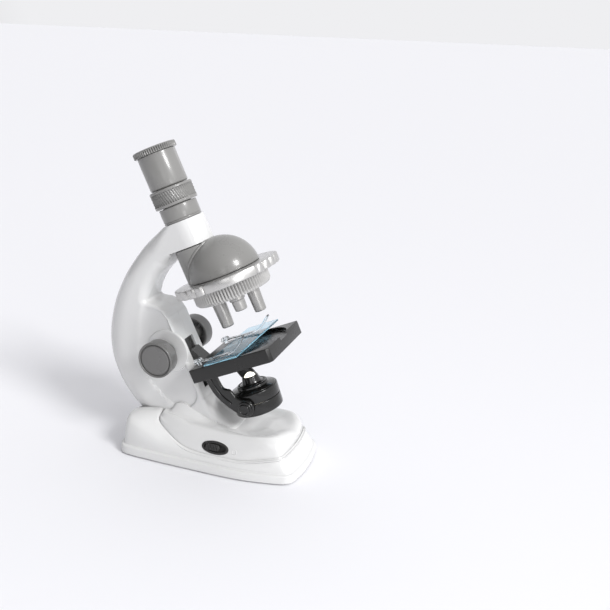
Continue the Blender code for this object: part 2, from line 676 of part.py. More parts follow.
def make_stage():
    middle = (STAGE_REAR + STAGE_FRONT) / 2
    plate = box("stage_plate", (STAGE_FRONT - STAGE_REAR, 2 * STAGE_HALF, STAGE_THICK), BLACK, 1.0, 2)
    place(plate, TILTED, (middle, 0.0, -STAGE_THICK / 2))
    recess = cylinder("stage_recess", RECESS_R, -RECESS_DEEP, 3.0, None, 40)
    place(recess, TILTED, (RECESS_S, 0, 0))
    aperture = cylinder("stage_aperture", APERTURE_R, -12.0, 3.0, None, 20)
    place(aperture, TILTED, (0, 0, 0))
    under = box("stage_under", (STAGE_FRONT - STAGE_REAR - 4.4, 2 * STAGE_HALF - 4.4, 8.0), None)
    place(under, TILTED, (middle, 0.0, -4.7 - 4.0))
    corner = box("stage_corner", (8.0, 8.0, 30.0), None)
    place(corner, TILTED, (STAGE_FRONT, -STAGE_HALF, 0), (0.0, 0.0, math.pi / 4))
    corner.data.transform(Matrix.Translation((3.4 * MM, 0.0, 0.0)))
    corner.rotation_euler = (0.0, 0.0, -math.pi / 4)
    cut(plate, recess, aperture, under, corner)
    for side, tag in ((-1, "left"), (1, "right")):
        hole = cylinder(f"post_hole_{tag}", 1.6, -9.0, 3.0, None, 16)
        place(hole, TILTED, (CLIP_S, side * CLIP_Y, 0))
        cut(plate, hole)
        post = turned(f"clip_post_{tag}", [(0, 5.0), (2.4, 5.0), (3.2, 4.4), (3.2, 3.6), (1.3, 3.6),
                                           (1.3, -4.2), (0, -4.2)], CLEAR, 20)
        place(post, TILTED, (CLIP_S, side * CLIP_Y, 0))
        strap = make_clip(f"clip_{tag}", side)
        place(strap, TILTED, (CLIP_S, side * CLIP_Y, 0))
    slide = box("specimen_slide", (26.4, 75.0, 1.2), BLUE, 0.25, 1)
    place(slide, TILTED, (1.05, 8.0, 0.9))


def make_clip(name, side):
    """A springy strap with an eye at the post, low over the glass and curling up at its tip."""
    top = [(-3.2, 3.3), (5.0, 3.3), (12.0, 3.0), (24.0, 3.1), (29.0, 4.4), (33.0, 6.6),
           (36.6, 9.4), (39.4, 11.4)]
    bottom = [(39.8, 10.3), (37.4, 8.2), (33.8, 5.4), (29.6, 3.1), (24.2, 2.0), (12.0, 1.9),
              (5.0, 2.2), (-3.2, 2.2)]
    strap = prism(name, top + bottom, -2.0, 2.0, CLEAR)
    strap.data.transform(Matrix.Rotation(math.pi / 2, 4, "X"))
    eye = cylinder(name + "_eye", 3.4, 2.1, 3.4, None, 20)
    place(eye, TILTED, (CLIP_S, side * CLIP_Y, 0))
    hole = cylinder(name + "_eye_hole", 1.6, 0.0, 6.0, None, 16)
    place(hole, TILTED, (CLIP_S, side * CLIP_Y, 0))
    join(strap, eye)
    cut(strap, hole)
    return strap


# ---------------------------------------------------------------- lamp

def make_lamp():
    profile = [(-21.5, -5.0), (-12.6, -5.0), (-12.2, -12.6), (-11.6, -19.4), (-9.6, -21.6),
               (-7.2, -22.4), (-5.8, -25.0), (-4.6, -29.2), (LAMP_S, LAMP_H + 6.2),
               (LAMP_S + 4.4, LAMP_H + 4.4), (LAMP_S + 6.2, LAMP_H), (LAMP_S + 4.4, LAMP_H - 4.4),
               (LAMP_S, LAMP_H - 6.0), (-7.0, -41.0), (-12.8, -34.6), (-17.6, -26.4), (-20.6, -15.0)]
    yoke = prism("lamp_yoke", profile, 17.9, 20.5, BLACK)
    place(yoke, TILTED, (0, 0, 0), (math.pi / 2, 0.0, 0.0))
    other = prism("yoke_far_arm", profile, -20.5, -17.9, None)
    place(other, TILTED, (0, 0, 0), (math.pi / 2, 0.0, 0.0))
    bar = box("yoke_crossbar", (5.0, 38.0, 5.0), None)
    place(bar, TILTED, (-17.5, 0.0, -8.2))
    join(yoke, bar, other)
    for side, tag in ((1, "right"), (-1, "left")):
        turn = (-side * math.pi / 2, 0.0, 0.0)
        hole = cylinder(f"yoke_hole_{tag}", 2.1, 16.0, 23.0, None, 20)
        place(hole, LAMP, (0, 0, 0), turn)
        cut(yoke, hole)
        pivot = turned(f"lamp_pivot_{tag}", [(0, 23.0), (3.4, 23.0), (3.9, 22.6), (3.9, 21.8),
                                             (5.2, 21.6), (5.2, 20.8), (2.0, 20.8), (2.0, 14.4),
                                             (0, 14.4)], BLACK, 20)
        place(pivot, LAMP, (0, 0, 0), turn)
    upper = turned("lamp_upper_case", [(9.2, 11.2), (10.6, 11.2), (11.0, 10.7), (11.1, 9.2),
                                       (16.2, 8.0), (LAMP_R, 7.3), (LAMP_R, 0.2), (15.0, 0.2),
                                       (15.0, 6.0), (9.2, 7.4)], BLACK, 28, True)
    place(upper, LAMP_BODY, (0, 0, 0))
    lower = turned("lamp_lower_case", [(0.0, -4.0), (14.6, -4.0), (14.6, -0.1), (LAMP_R, -0.1),
                                       (LAMP_R, -7.6), (16.2, -8.5), (13.6, -8.6), (13.6, -6.0),
                                       (0.0, -6.0)], BLACK, 28)
    place(lower, LAMP_BODY, (0, 0, 0))
    for side, tag in ((1, "right"), (-1, "left")):
        turn = (-side * math.pi / 2, 0.0, 0.0)
        for obj in (upper, lower):
            seat = cylinder(f"{obj.name}_seat_{tag}", 2.3, 13.0, 19.0, None, 20)
            place(seat, LAMP, (0, 0, 0), turn)
            cut(obj, seat)
    collar = turned("lamp_collar", [(4.6, 16.6), (5.4, 16.4), (5.8, 15.7), (6.4, 11.4), (8.8, 11.1),
                                    (8.8, 4.4), (4.6, 4.4)], BLACK_MATT, 24, True)
    place(collar, LAMP_BODY, (0, 0, 0))
    bulb = turned("lamp_bulb", [(0.0, 18.6), (1.8, 18.2), (3.2, 17.2), (4.0, 16.0), (4.2, 15.0),
                                (4.2, 5.0), (0.0, 5.0)], GLOW, 20)
    place(bulb, LAMP_BODY, (0, 0, 0))
    glass = turned("mirror", [(0.0, -6.3), (13.0, -6.3), (13.0, -7.6), (0.0, -7.6)], MIRROR, 24)
    place(glass, LAMP_BODY, (0, 0, 0))


# ---------------------------------------------------------------- head, turret, objectives

def make_head():
    dome = [(0.0, HEAD_R)]
    for k in range(1, 7):
        angle = math.radians(90 - 15 * k)
        dome.append((HEAD_R * math.cos(angle), HEAD_R * math.sin(angle)))
    inside = [(0.0, HEAD_R - HEAD_WALL)]
    for k in range(1, 7):
        angle = math.radians(90 - 15 * k)
        inside.append(((HEAD_R - HEAD_WALL) * math.cos(angle), (HEAD_R - HEAD_WALL) * math.sin(angle)))
    base = DISC_TOP + 0.4
    head = turned("nosepiece_head", dome + list(reversed(inside)), GREY_TUBE, 36)
    place(head, TILTED, (TURRET_S, 0, base))
    tube = cylinder("head_tube", COLLAR_R, base + 0.02, COLLAR_BOTTOM - GAP, None, 32)
    place(tube, TILTED, (0, 0, 0))
    boss = cylinder("head_boss", 4.6, base + 0.02, base + 23.0, None, 20)
    place(boss, TILTED, (TURRET_S, 0, 0))
    bore = cylinder("head_bore", 9.3, 50.0, 80.0, None, 24)
    place(bore, TILTED, (0, 0, 0))
    screw_hole = cylinder("head_screw_hole", 2.1, 50.0, base + 14.0, None, 16)
    place(screw_hole, TILTED, (TURRET_S, 0, 0))
    chamfer = box("head_chamfer", (12.0, 40.0, 6.0), None)
    place(chamfer, TILTED, (-12.8, 0.0, 74.85), (0.0, -math.atan2(3.9, 5.2), 0.0))
    chamfer.data.transform(Matrix.Translation((0.0, 0.0, 3.0 * MM)))
    seat = cylinder("head_seat", COLLAR_R + 0.5, COLLAR_BOTTOM - GAP, 84.0, None, 32)
    place(seat, TILTED, (0, 0, 0))
    join(head, tube, boss)
    cut(head, bore, screw_hole, chamfer, seat)


def disc_outline():
    """A round disc with three grip groups of rounded lobes between three smooth arcs."""
    points = []
    for group in range(3):
        centre = 120.0 * group
        for lobe in range(5):
            middle = centre - 24.0 + 12.0 * lobe
            for offset, drop in ((-6.0, 1.6), (-4.2, 0.3), (0.0, 0.0), (4.2, 0.3)):
                angle = math.radians(middle + offset)
                points.append(((DISC_R - drop) * math.cos(angle), (DISC_R - drop) * math.sin(angle)))
        for step in range(6):
            angle = math.radians(centre + 30.0 + 10.0 * step + 1.4)
            drop = 1.6 if step == 0 else 0.0
            points.append(((DISC_R - drop) * math.cos(angle), (DISC_R - drop) * math.sin(angle)))
    return points


def make_turret():
    disc = prism("turret_disc", disc_outline(), DISC_BOTTOM, DISC_TOP, SILVER)
    place(disc, TURRET, (0, 0, 0))
    drum = turned("turret_drum", [(5.0, 45.9), (5.0, 38.9), (24.8, 38.9), (24.8, 46.1),
                                  (DRUM_R, 46.1), (DRUM_R, 38.0), (25.4, DRUM_BOTTOM),
                                  (2.3, DRUM_BOTTOM), (2.3, 45.9)], GREY_TUBE, 28, True)
    place(drum, TURRET, (0, 0, 0))
    hub = cylinder("disc_hub_hole", 2.3, 40.0, 60.0, None, 16)
    place(hub, TURRET, (0, 0, 0))
    cut(disc, hub)
    screw = turned("turret_screw", [(0, 65.6), (1.9, 65.0), (1.9, 35.9), (3.6, 35.9), (3.6, 34.9),
                                    (2.6, 34.2), (0, 34.2)], STEEL, 16)
    place(screw, TILTED, (TURRET_S, 0, 0))
    sizes = (("objective_long", 180.0, 15.8, 4.9, 4.3), ("objective_short", -60.0, 26.3, 4.5, 4.2),
             ("objective_medium", 60.0, 17.5, 4.7, 4.2))
    for name, azimuth, tip, radius, tip_radius in sizes:
        angle = math.radians(azimuth)
        at = (OBJECTIVE_RHO * math.cos(angle), OBJECTIVE_RHO * math.sin(angle), 0)
        path = cylinder(name + "_path", 3.2, 30.0, 60.0, None, 16)
        place(path, TURRET, at)
        cut(disc, path)
        cut(drum, path)
        barrel = turned(name, [(5.4, 36.0), (5.4, 33.6), (radius, 33.0), (tip_radius, tip + 0.6),
                               (tip_radius - 0.6, tip), (2.0, tip), (2.0, tip + 1.2),
                               (3.0, tip + 1.2), (3.0, 36.0)], SILVER, 18, True)
        place(barrel, TURRET, at)
        lens = turned(name.replace("objective", "lens"), [(0, tip + 3.2), (1.6, tip + 2.9),
                                                          (2.8, tip + 2.2), (2.8, tip + 1.3),
                                                          (0, tip + 1.3)], GLASS, 12)
        place(lens, TURRET, at)


# ---------------------------------------------------------------- body tube and eyepiece

def make_tube():
    tube = turned("body_tube", [(BORE_R + 0.1, 105.3), (TUBE_R - 0.4, 105.3), (TUBE_R, 104.9),
                                (TUBE_R, COLLAR_TOP + GAP), (11.6, COLLAR_TOP + GAP), (11.6, 79.0),
                                (BORE_R + 0.1, 79.0)], GREY_TUBE, 28, True)
    place(tube, TILTED, (0, 0, 0))
    bore = BORE_R + 0.5
    ring = turned("zoom_ring", [(bore, 117.8), (RIM_R - 0.5, 117.8), (RIM_R, 117.2),
                                (RIM_R, 106.2), (RIM_R - 0.5, 105.7), (bore, 105.7)],
                  GREY_TUBE, 28, True)
    place(ring, TILTED, (0, 0, 0))
    barrel = turned("eyepiece_barrel", [(9.3, 141.0), (BARREL_R, 141.0), (BARREL_R, 118.9),
                                        (BARREL_R - 0.5, 118.2), (BORE_R, 118.2), (BORE_R, 97.0),
                                        (8.0, 97.0), (8.0, 98.2), (8.8, 98.2), (8.8, 137.4),
                                        (9.3, 137.4)], GREY_TUBE, 28, True)
    place(barrel, TILTED, (0, 0, 0))
    cap = turned("eyepiece_cap", [(7.6, 144.4), (9.8, 145.3), (RIM_R - 0.5, 145.3), (RIM_R, 144.8),
                                  (RIM_R, 141.6), (RIM_R - 0.3, 141.3), (7.6, 141.3)],
                 GREY_TUBE, 28, True)
    place(cap, TILTED, (0, 0, 0))
    eye = turned("eye_lens", [(0, 141.0), (5.0, 140.6), (9.0, 139.6), (9.0, 138.2), (5.0, 137.8),
                              (0, 137.6)], GLASS, 20)
    place(eye, TILTED, (0, 0, 0))
    field = turned("field_lens", [(0, 102.0), (5.0, 101.5), (8.5, 100.2), (8.5, 98.6), (0, 98.5)],
                   GLASS, 20)
    place(field, TILTED, (0, 0, 0))


def finish_shading():
    """Turns each part's modifiers into its mesh and shades its round faces smooth."""
    bpy.context.view_layer.update()
    graph = bpy.context.evaluated_depsgraph_get()
    meshes = {}
    for obj in PARTS.objects:
        if obj.type == "MESH":
            meshes[obj.name] = bpy.data.meshes.new_from_object(obj.evaluated_get(graph))
    for name, mesh in meshes.items():
        obj = bpy.data.objects[name]
        obj.modifiers.clear()
        obj.data = mesh
        mesh.name = name
        mesh.shade_smooth()
        mesh.set_sharp_from_angle(angle=math.radians(35.0))


clear_scene()
PARTS = new_collection("kids_microscope", False)
CUTTERS = new_collection("cutters", True)

WHITE = new_material("white_plastic", (0.80, 0.80, 0.80), 0.25)
GREY_TUBE = new_material("grey_plastic", (0.30, 0.30, 0.29), 0.45)
GREY_KNOB = new_material("knob_grey", (0.20, 0.20, 0.21), 0.40)
GREY_DARK = new_material("underside_grey", (0.10, 0.10, 0.11), 0.55)
GREY_SWITCH = new_material("switch_grey", (0.05, 0.05, 0.05), 0.45)
SILVER = new_material("silver_plastic", (0.62, 0.62, 0.62), 0.30, 0.6)
BLACK = new_material("black_plastic", (0.012, 0.012, 0.013), 0.20)
BLACK_MATT = new_material("black_matt", (0.02, 0.02, 0.02), 0.55)
CLEAR = new_material("clear_plastic", (0.85, 0.90, 0.92), 0.08, 0.0, 0.4)
BLUE = new_material("blue_glass", (0.25, 0.60, 0.85), 0.05, 0.0, 0.5)
GLASS = new_material("lens_glass", (0.85, 0.90, 0.92), 0.03, 0.0, 0.3)
GLOW = new_material("lamp_glow", (0.95, 0.95, 0.90), 0.20)
MIRROR = new_material("mirror_glass", (0.90, 0.90, 0.90), 0.03, 1.0)
STEEL = new_material("plated_steel", (0.55, 0.55, 0.56), 0.35, 1.0)
RUBBER = new_material("rubber", (0.03, 0.03, 0.03), 0.80)
BATTERY = new_material("battery_jacket", (0.10, 0.16, 0.20), 0.35, 0.3)

TILTED = new_empty("optical_frame", None, (AXIS_X, 0.0, STAGE_Z),
                   (0.0, -math.radians(TILT_DEG), 0.0))
TURRET = new_empty("turret_axis", TILTED, (TURRET_S, 0.0, 0.0))
FOCUS = new_empty("focus_axis", TILTED, (KNOB_S, 0.0, KNOB_H))
LAMP = new_empty("lamp_axis", TILTED, (LAMP_S, 0.0, LAMP_H))
LAMP_BODY = new_empty("lamp_lean", LAMP, (0.0, 0.0, 0.0),
                      (0.0, math.radians(TILT_DEG - LAMP_LEAN_DEG), 0.0))
SWITCH = new_empty("switch_face", None, (SWITCH_AT[0] + AXIS_X, SWITCH_AT[1], SWITCH_AT[2]),
                   (math.radians(SWITCH_LEAN_DEG), 0.0, 0.0))

ARM_CLEAR = make_arm()
make_foot(ARM_CLEAR)
make_deck(ARM_CLEAR)
make_batteries()
make_switch()
make_focus()
make_stage()
make_lamp()
make_head()
make_turret()
make_tube()
finish_shading()
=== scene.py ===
"""Looks of the kids microscope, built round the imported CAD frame. Metres; profile numbers are millimetres."""

import json
import math

from collections import namedtuple

import bmesh
import bpy
from mathutils import Matrix, Vector
from mathutils.geometry import delaunay_2d_cdt


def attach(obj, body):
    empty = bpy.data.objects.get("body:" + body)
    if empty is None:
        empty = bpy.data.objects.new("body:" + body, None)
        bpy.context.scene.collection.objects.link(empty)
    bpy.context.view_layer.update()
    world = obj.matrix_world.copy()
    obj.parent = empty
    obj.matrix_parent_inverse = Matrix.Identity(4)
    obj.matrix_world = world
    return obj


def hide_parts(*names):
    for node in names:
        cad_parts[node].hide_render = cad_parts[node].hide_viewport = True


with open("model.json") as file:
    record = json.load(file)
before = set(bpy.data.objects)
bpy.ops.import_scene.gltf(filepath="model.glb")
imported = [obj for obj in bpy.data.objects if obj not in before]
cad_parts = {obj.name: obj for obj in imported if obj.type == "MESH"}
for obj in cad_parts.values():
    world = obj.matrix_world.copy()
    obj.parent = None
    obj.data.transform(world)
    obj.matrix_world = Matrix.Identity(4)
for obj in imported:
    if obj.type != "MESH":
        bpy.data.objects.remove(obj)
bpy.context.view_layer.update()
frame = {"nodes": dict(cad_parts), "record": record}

MM = 0.001
AXIS_X = 20.6  # where the optical axis crosses the stage
STAGE_Z = 82.04
TILT = math.radians(25.0)
CT, ST = math.cos(TILT), math.sin(TILT)
TURRET_S = 14.3  # turret axis, parallel to the optical axis
OBJECTIVE_RING = 14.3
KNOB_S, KNOB_H = -44.9, 14.3
LAMP_S, LAMP_H, LAMP_LEAN = -1.2, -38.0, math.radians(5.0)
ARM_HALF = 14.0  # half the width of the arm
ARM_WALL, BASE_WALL = 1.8, 1.6
PANEL_DEPTH = 1.5
CREASE = 38.0  # degrees: a sharper edge than this stays sharp
SIDES = ((-1, "left"), (1, "right"))
DISC_R, SCALLOP = 36.8, 1.7
DOME_R, DOME_BASE, DOME_INNER_R = 24.4, 52.8, 22.2
HEAD_R, HEAD_TOP = 14.0, 76.0

Ribs = namedtuple("Ribs", "count depth low high least_r slant", defaults=(0.0,))


# ---------------------------------------------------------------- frames

def local(x=0.0, y=0.0, z=0.0):
    """Millimetre frame at a point of the stand: x from the optical axis, z from the floor."""
    return Matrix.Translation(((x + AXIS_X) * MM, y * MM, z * MM)) @ Matrix.Scale(MM, 4)


def tilted(s=0.0, y=0.0, h=0.0):
    """Millimetre frame in the tilted optical frame: local x is s, local z is h."""
    return local(0, 0, STAGE_Z) @ Matrix.Rotation(-TILT, 4, "Y") @ Matrix.Translation((s, y, h))


def side_turn(side):
    """Local z points out of that side of the object."""
    return Matrix.Rotation(-side * math.pi / 2, 4, "X")


def on_edge():
    """Turns a flat outline so that its own y becomes local z."""
    return Matrix.Rotation(math.pi / 2, 4, "X")


def point(s, h):
    """Tilted (s, h) as (x, z) of the stand."""
    return (s * CT - h * ST, s * ST + h * CT + STAGE_Z)


def clamp(value):
    return max(0.0, min(1.0, value))


def ease(f):
    return f * f * (3 - 2 * f)


# ---------------------------------------------------------------- materials

def node(tree, kind, **inputs):
    made = tree.nodes.new(kind)
    for name, value in inputs.items():
        made.inputs[name.replace("_", " ")].default_value = value
    return made


def ranged(tree, source, low, high, to_low, to_high):
    """A source value mapped from low..high to to_low..to_high."""
    made = node(tree, "ShaderNodeMapRange", From_Min=low, From_Max=high, To_Min=to_low, To_Max=to_high)
    tree.links.new(source, made.inputs["Value"])
    return made.outputs["Result"]


def shade_of(colour, factor, lift=0.0):
    return (*[min(1.0, c * factor + lift) for c in colour], 1.0)


def mixed(tree, factor, under, over):
    """Mixes the over colour into under, which is a colour or another output."""
    made = tree.nodes.new("ShaderNodeMix")
    made.data_type = "RGBA"
    if isinstance(under, tuple):
        made.inputs["A"].default_value = under
    else:
        tree.links.new(under, made.inputs["A"])
    made.inputs["B"].default_value = over
    tree.links.new(factor, made.inputs["Factor"])
    return made.outputs["Result"]


def moulded(name, colour, rough, grain=0.02, grain_size=2600.0, wear=0.25, metallic=0.0, coat=0.0,
            mottled=0.05, transmission=0.0, ior=1.46, emission=0.0, painted_shade_strength=0.0):
    """Moulded or machined finish: fine grain, cloudy gloss, colour drift, paler worn edges, and painted shade
    that darkens the grooves and creases.
    """
    mat = bpy.data.materials.new(name)
    mat.use_nodes = True
    tree = mat.node_tree
    link = tree.links.new
    shader = tree.nodes["Principled BSDF"]
    place = tree.nodes.new("ShaderNodeTexCoord")
    cloud = node(tree, "ShaderNodeTexNoise", Scale=45.0, Detail=4.0, Roughness=0.55)
    fine = node(tree, "ShaderNodeTexNoise", Scale=grain_size, Detail=3.0, Roughness=0.6)
    scuff = node(tree, "ShaderNodeTexNoise", Scale=420.0, Detail=5.0, Roughness=0.7)
    for texture in (cloud, fine, scuff):
        link(place.outputs["Object"], texture.inputs["Vector"])
    link(ranged(tree, cloud.outputs["Fac"], 0.3, 0.7, max(0.02, rough * 0.82), min(1.0, rough * 1.22)),
         shader.inputs["Roughness"])
    drift = mixed(tree, cloud.outputs["Fac"], shade_of(colour, 1.0 - mottled),
                  shade_of(colour, 1.0 + mottled))
    shape = tree.nodes.new("ShaderNodeNewGeometry")
    broken = tree.nodes.new("ShaderNodeMath")
    broken.operation = "MULTIPLY"
    link(ranged(tree, shape.outputs["Pointiness"], 0.53, 0.66, 0.0, wear), broken.inputs[0])
    link(scuff.outputs["Fac"], broken.inputs[1])
    worn = mixed(tree, broken.outputs["Value"], drift, shade_of(colour, 0.5, 0.38))
    # Painted shade: low pointiness (grooves, creases, seams) darkens the colour towards a near-black copy of
    # it, standing in for the shade that falls there.
    painted_groove_shade = ranged(tree, shape.outputs["Pointiness"], 0.36, 0.49, painted_shade_strength, 0.0)
    link(mixed(tree, painted_groove_shade, worn, shade_of(colour, 0.12)), shader.inputs["Base Color"])
    bump = node(tree, "ShaderNodeBump", Strength=grain, Distance=0.0002)
    link(fine.outputs["Fac"], bump.inputs["Height"])
    link(bump.outputs["Normal"], shader.inputs["Normal"])
    shader.inputs["Metallic"].default_value = metallic
    shader.inputs["Coat Weight"].default_value = coat
    shader.inputs["Coat Roughness"].default_value = 0.08
    shader.inputs["IOR"].default_value = ior
    shader.inputs["Transmission Weight"].default_value = transmission
    if emission:
        shader.inputs["Emission Color"].default_value = (1.0, 0.95, 0.80, 1.0)
        shader.inputs["Emission Strength"].default_value = emission
    return mat


WHITE = moulded("white_moulded", (0.70, 0.70, 0.695), 0.20, 0.015, wear=0.5, coat=0.35, mottled=0.012)
GREY = moulded("grey_moulded", (0.235, 0.232, 0.224), 0.30, 0.05, wear=0.6, coat=0.3, painted_shade_strength=0.9)
GREY_DRUM = moulded("grey_grip", (0.46, 0.455, 0.445), 0.32, 0.04, wear=0.8, coat=0.1, painted_shade_strength=1.0)
KNOB = moulded("knob_moulded", (0.15, 0.148, 0.145), 0.30, 0.05, wear=0.35, coat=0.1)
UNDER = moulded("underside_moulded", (0.10, 0.10, 0.11), 0.55, 0.15, 1400.0)
SWITCH = moulded("switch_moulded", (0.030, 0.029, 0.028), 0.42, 0.08, wear=0.5)
SILVER = moulded("silver_painted", (0.52, 0.515, 0.505), 0.27, 0.03, wear=0.4, metallic=0.75, coat=0.2)
SILVER_DARK = moulded("objective_satin", (0.38, 0.375, 0.365), 0.30, 0.03, wear=0.4, metallic=0.6,
                      coat=0.15)
BLACK = moulded("black_gloss", (0.0075, 0.0075, 0.007), 0.16, 0.02, wear=0.12, coat=0.25)
STAGE = moulded("black_stage", (0.009, 0.0088, 0.0083), 0.28, 0.05, wear=0.15, coat=0.1)
MATT = moulded("black_matt_moulded", (0.016, 0.0155, 0.015), 0.48, 0.10, wear=0.2)
CLEAR = moulded("clear_moulded", (0.93, 0.96, 0.98), 0.05, 0.01, wear=0.0, mottled=0.01,
                transmission=0.95, ior=1.45)
BLUE = moulded("blue_glass_slide", (0.42, 0.76, 0.93), 0.04, 0.01, wear=0.0, mottled=0.03,
               transmission=0.9, ior=1.45)
GLASS = moulded("lens_glass_polished", (0.88, 0.92, 0.94), 0.03, 0.01, wear=0.0, mottled=0.01,
                transmission=0.9, ior=1.5)
GLOW = moulded("lamp_glow_frosted", (0.95, 0.93, 0.85), 0.2, 0.02, wear=0.0, emission=2.2)
MIRROR = moulded("mirror_silvered", (0.85, 0.86, 0.87), 0.04, 0.01, wear=0.0, metallic=1.0)
STEEL = moulded("steel_plated", (0.50, 0.50, 0.51), 0.30, 0.06, wear=0.3, metallic=1.0)
RUBBER = moulded("rubber_moulded", (0.03, 0.03, 0.03), 0.8, 0.3, 1200.0)
CELL = moulded("cell_jacket", (0.09, 0.15, 0.19), 0.3, 0.03, metallic=0.3, coat=0.3)

LOOKS = {
    "white_plastic": WHITE, "grey_plastic": GREY, "knob_grey": KNOB, "underside_grey": UNDER,
    "switch_grey": SWITCH, "silver_plastic": SILVER, "black_plastic": BLACK, "black_matt": MATT,
    "clear_plastic": CLEAR, "blue_glass": BLUE, "lens_glass": GLASS, "lamp_glow": GLOW,
    "mirror_glass": MIRROR, "plated_steel": STEEL, "rubber": RUBBER, "battery_jacket": CELL,
}


# ---------------------------------------------------------------- mesh tools

def finish_piece(name, bm, mat, body, nodes, sharp=CREASE):
    bmesh.ops.remove_doubles(bm, verts=bm.verts[:], dist=1e-7)
    bmesh.ops.recalc_face_normals(bm, faces=bm.faces[:])
    mesh = bpy.data.meshes.new(name)
    bm.to_mesh(mesh)
    bm.free()
    mesh.materials.append(mat)
    mesh.shade_smooth()
    mesh.set_sharp_from_angle(angle=math.radians(sharp))
    obj = bpy.data.objects.new(name, mesh)
    bpy.context.scene.collection.objects.link(obj)
    if body:
        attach(obj, body)
        if nodes:
            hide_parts(*nodes)
    return obj


def fillet(profile, radius, steps=4, closed=False):
    """Rounds each corner of a profile with a short curve."""
    out = []
    count = len(profile)
    for i in range(count):
        p = Vector(profile[i])
        if not closed and i in (0, count - 1):
            out.append((p.x, p.y))
            continue
        u = Vector(profile[i - 1]) - p
        v = Vector(profile[(i + 1) % count]) - p
        reach = min(radius, 0.45 * u.length, 0.45 * v.length)
        start = p + u.normalized() * reach
        end = p + v.normalized() * reach
        for k in range(steps + 1):
            f = k / steps
            q = start * (1 - f) ** 2 + p * (2 * f * (1 - f)) + end * f * f
            out.append((q.x, q.y))
    return out


def through(p, t):
    """Catmull-Rom: the place at t between the second and third of four points."""
    return 0.5 * (2 * p[1] + (p[2] - p[0]) * t
                  + (2 * p[0] - 5 * p[1] + 4 * p[2] - p[3]) * t * t
                  + (3 * p[1] - p[0] - 3 * p[2] + p[3]) * t ** 3)


def catmull(points, steps, closed=False):
    """A smooth curve through the points."""
    count = len(points)
    spans = count if closed else count - 1
    out = []
    for i in range(spans):
        if closed:
            p = [points[(i + k) % count] for k in (-1, 0, 1, 2)]
        else:
            p = [points[max(0, min(count - 1, i + k))] for k in (-1, 0, 1, 2)]
        out += [through(p, k / steps) for k in range(steps)]
    if not closed:
        out.append(points[-1].copy())
    return out


def lathe_into(bm, profile, matrix, segments=72, closed=False, ribs=None):
    """A turned surface; ribs cut grip grooves between two heights, outside a least radius."""
    rows = []
    for k in range(segments):
        a = math.tau * k / segments
        row = []
        for r, z in profile:
            if ribs and r > ribs.least_r and ribs.low <= z <= ribs.high:
                turned = a + ribs.slant * (z - ribs.low)
                r -= ribs.depth * (0.5 - 0.5 * math.cos(ribs.count * turned))
            row.append(bm.verts.new(matrix @ Vector((r * math.cos(a), r * math.sin(a), z))))
        rows.append(row)
    count = len(profile)
    last = count if closed else count - 1
    for k in range(segments):
        a, b = rows[k], rows[(k + 1) % segments]
        for i in range(last):
            j = (i + 1) % count
            quad = [a[i], a[j], b[j], b[i]]
            spots = {tuple(round(c, 9) for c in v.co) for v in quad}
            if len(spots) == 4:
                bm.faces.new(quad)
            elif len(spots) == 3:
                if (a[i].co - b[i].co).length < 1e-9:
                    bm.faces.new([a[i], a[j], b[j]])
                else:
                    bm.faces.new([a[i], a[j], b[i]])


def lathe(name, profile, matrix, mat, body, nodes, segments=72, closed=False, ribs=None,
          sharp=CREASE):
    bm = bmesh.new()
    lathe_into(bm, profile, matrix, segments, closed, ribs)
    return finish_piece(name, bm, mat, body, nodes, sharp)


def inset_outline(outline, distance):
    """The closed anticlockwise outline moved inward along its averaged normals."""
    moved = []
    count = len(outline)
    for i in range(count):
        here = Vector(outline[i])
        u = (here - Vector(outline[i - 1])).normalized()
        v = (Vector(outline[(i + 1) % count]) - here).normalized()
        along = (u + v).normalized()
        stretch = 1.0 / max(0.6, along.dot(v))
        moved.append(tuple(here + Vector((-along.y, along.x)) * distance * stretch))
    return moved


def plate_into(bm, outline, low, high, matrix, rounding=0.4, steps=3, centre=None):
    """A flat outline with thickness and rounded rims; centre fans its caps."""
    rings = []
    for k in range(steps + 1):
        a = math.pi / 2 * k / steps
        rings.append((rounding * (1 - math.sin(a)), low + rounding * (1 - math.cos(a))))
    rings += [(inset, low + high - z) for inset, z in reversed(rings)]
    rows = []
    for inset, z in rings:
        ring = inset_outline(outline, inset) if inset > 1e-6 else outline
        rows.append([bm.verts.new(matrix @ Vector((a, b, z))) for a, b in ring])
    count = len(outline)
    for a, b in zip(rows, rows[1:]):
        for i in range(count):
            j = (i + 1) % count
            bm.faces.new((a[i], a[j], b[j], b[i]))
    for row, z in ((rows[0], rings[0][1]), (rows[-1], rings[-1][1])):
        if centre is None:
            bm.faces.new(row)
            continue
        hub = bm.verts.new(matrix @ Vector((centre[0], centre[1], z)))
        for i in range(count):
            bm.faces.new((row[i], row[(i + 1) % count], hub))


def plate(name, outline, low, high, matrix, mat, body, nodes, rounding=0.4, centre=None):
    bm = bmesh.new()
    plate_into(bm, outline, low, high, matrix, rounding, 3, centre)
    return finish_piece(name, bm, mat, body, nodes)


def turned_tool(name, profile, matrix, segments):
    bm = bmesh.new()
    lathe_into(bm, profile, matrix, segments)
    return finish_piece(name, bm, WHITE, None, None)


def flat_tool(name, outline, low, high, matrix, rounding=0.01, steps=1):
    bm = bmesh.new()
    plate_into(bm, outline, low, high, matrix, rounding, steps)
    return finish_piece(name, bm, WHITE, None, None)


def rectangle(left, low, right, high):
    return [(left, low), (right, low), (right, high), (left, high)]


def thicken(obj, wall):
    """Gives an open skin its wall, inward."""
    solid = obj.modifiers.new("wall", "SOLIDIFY")
    solid.thickness = wall * MM
    solid.offset = -1.0
    solid.use_even_offset = False


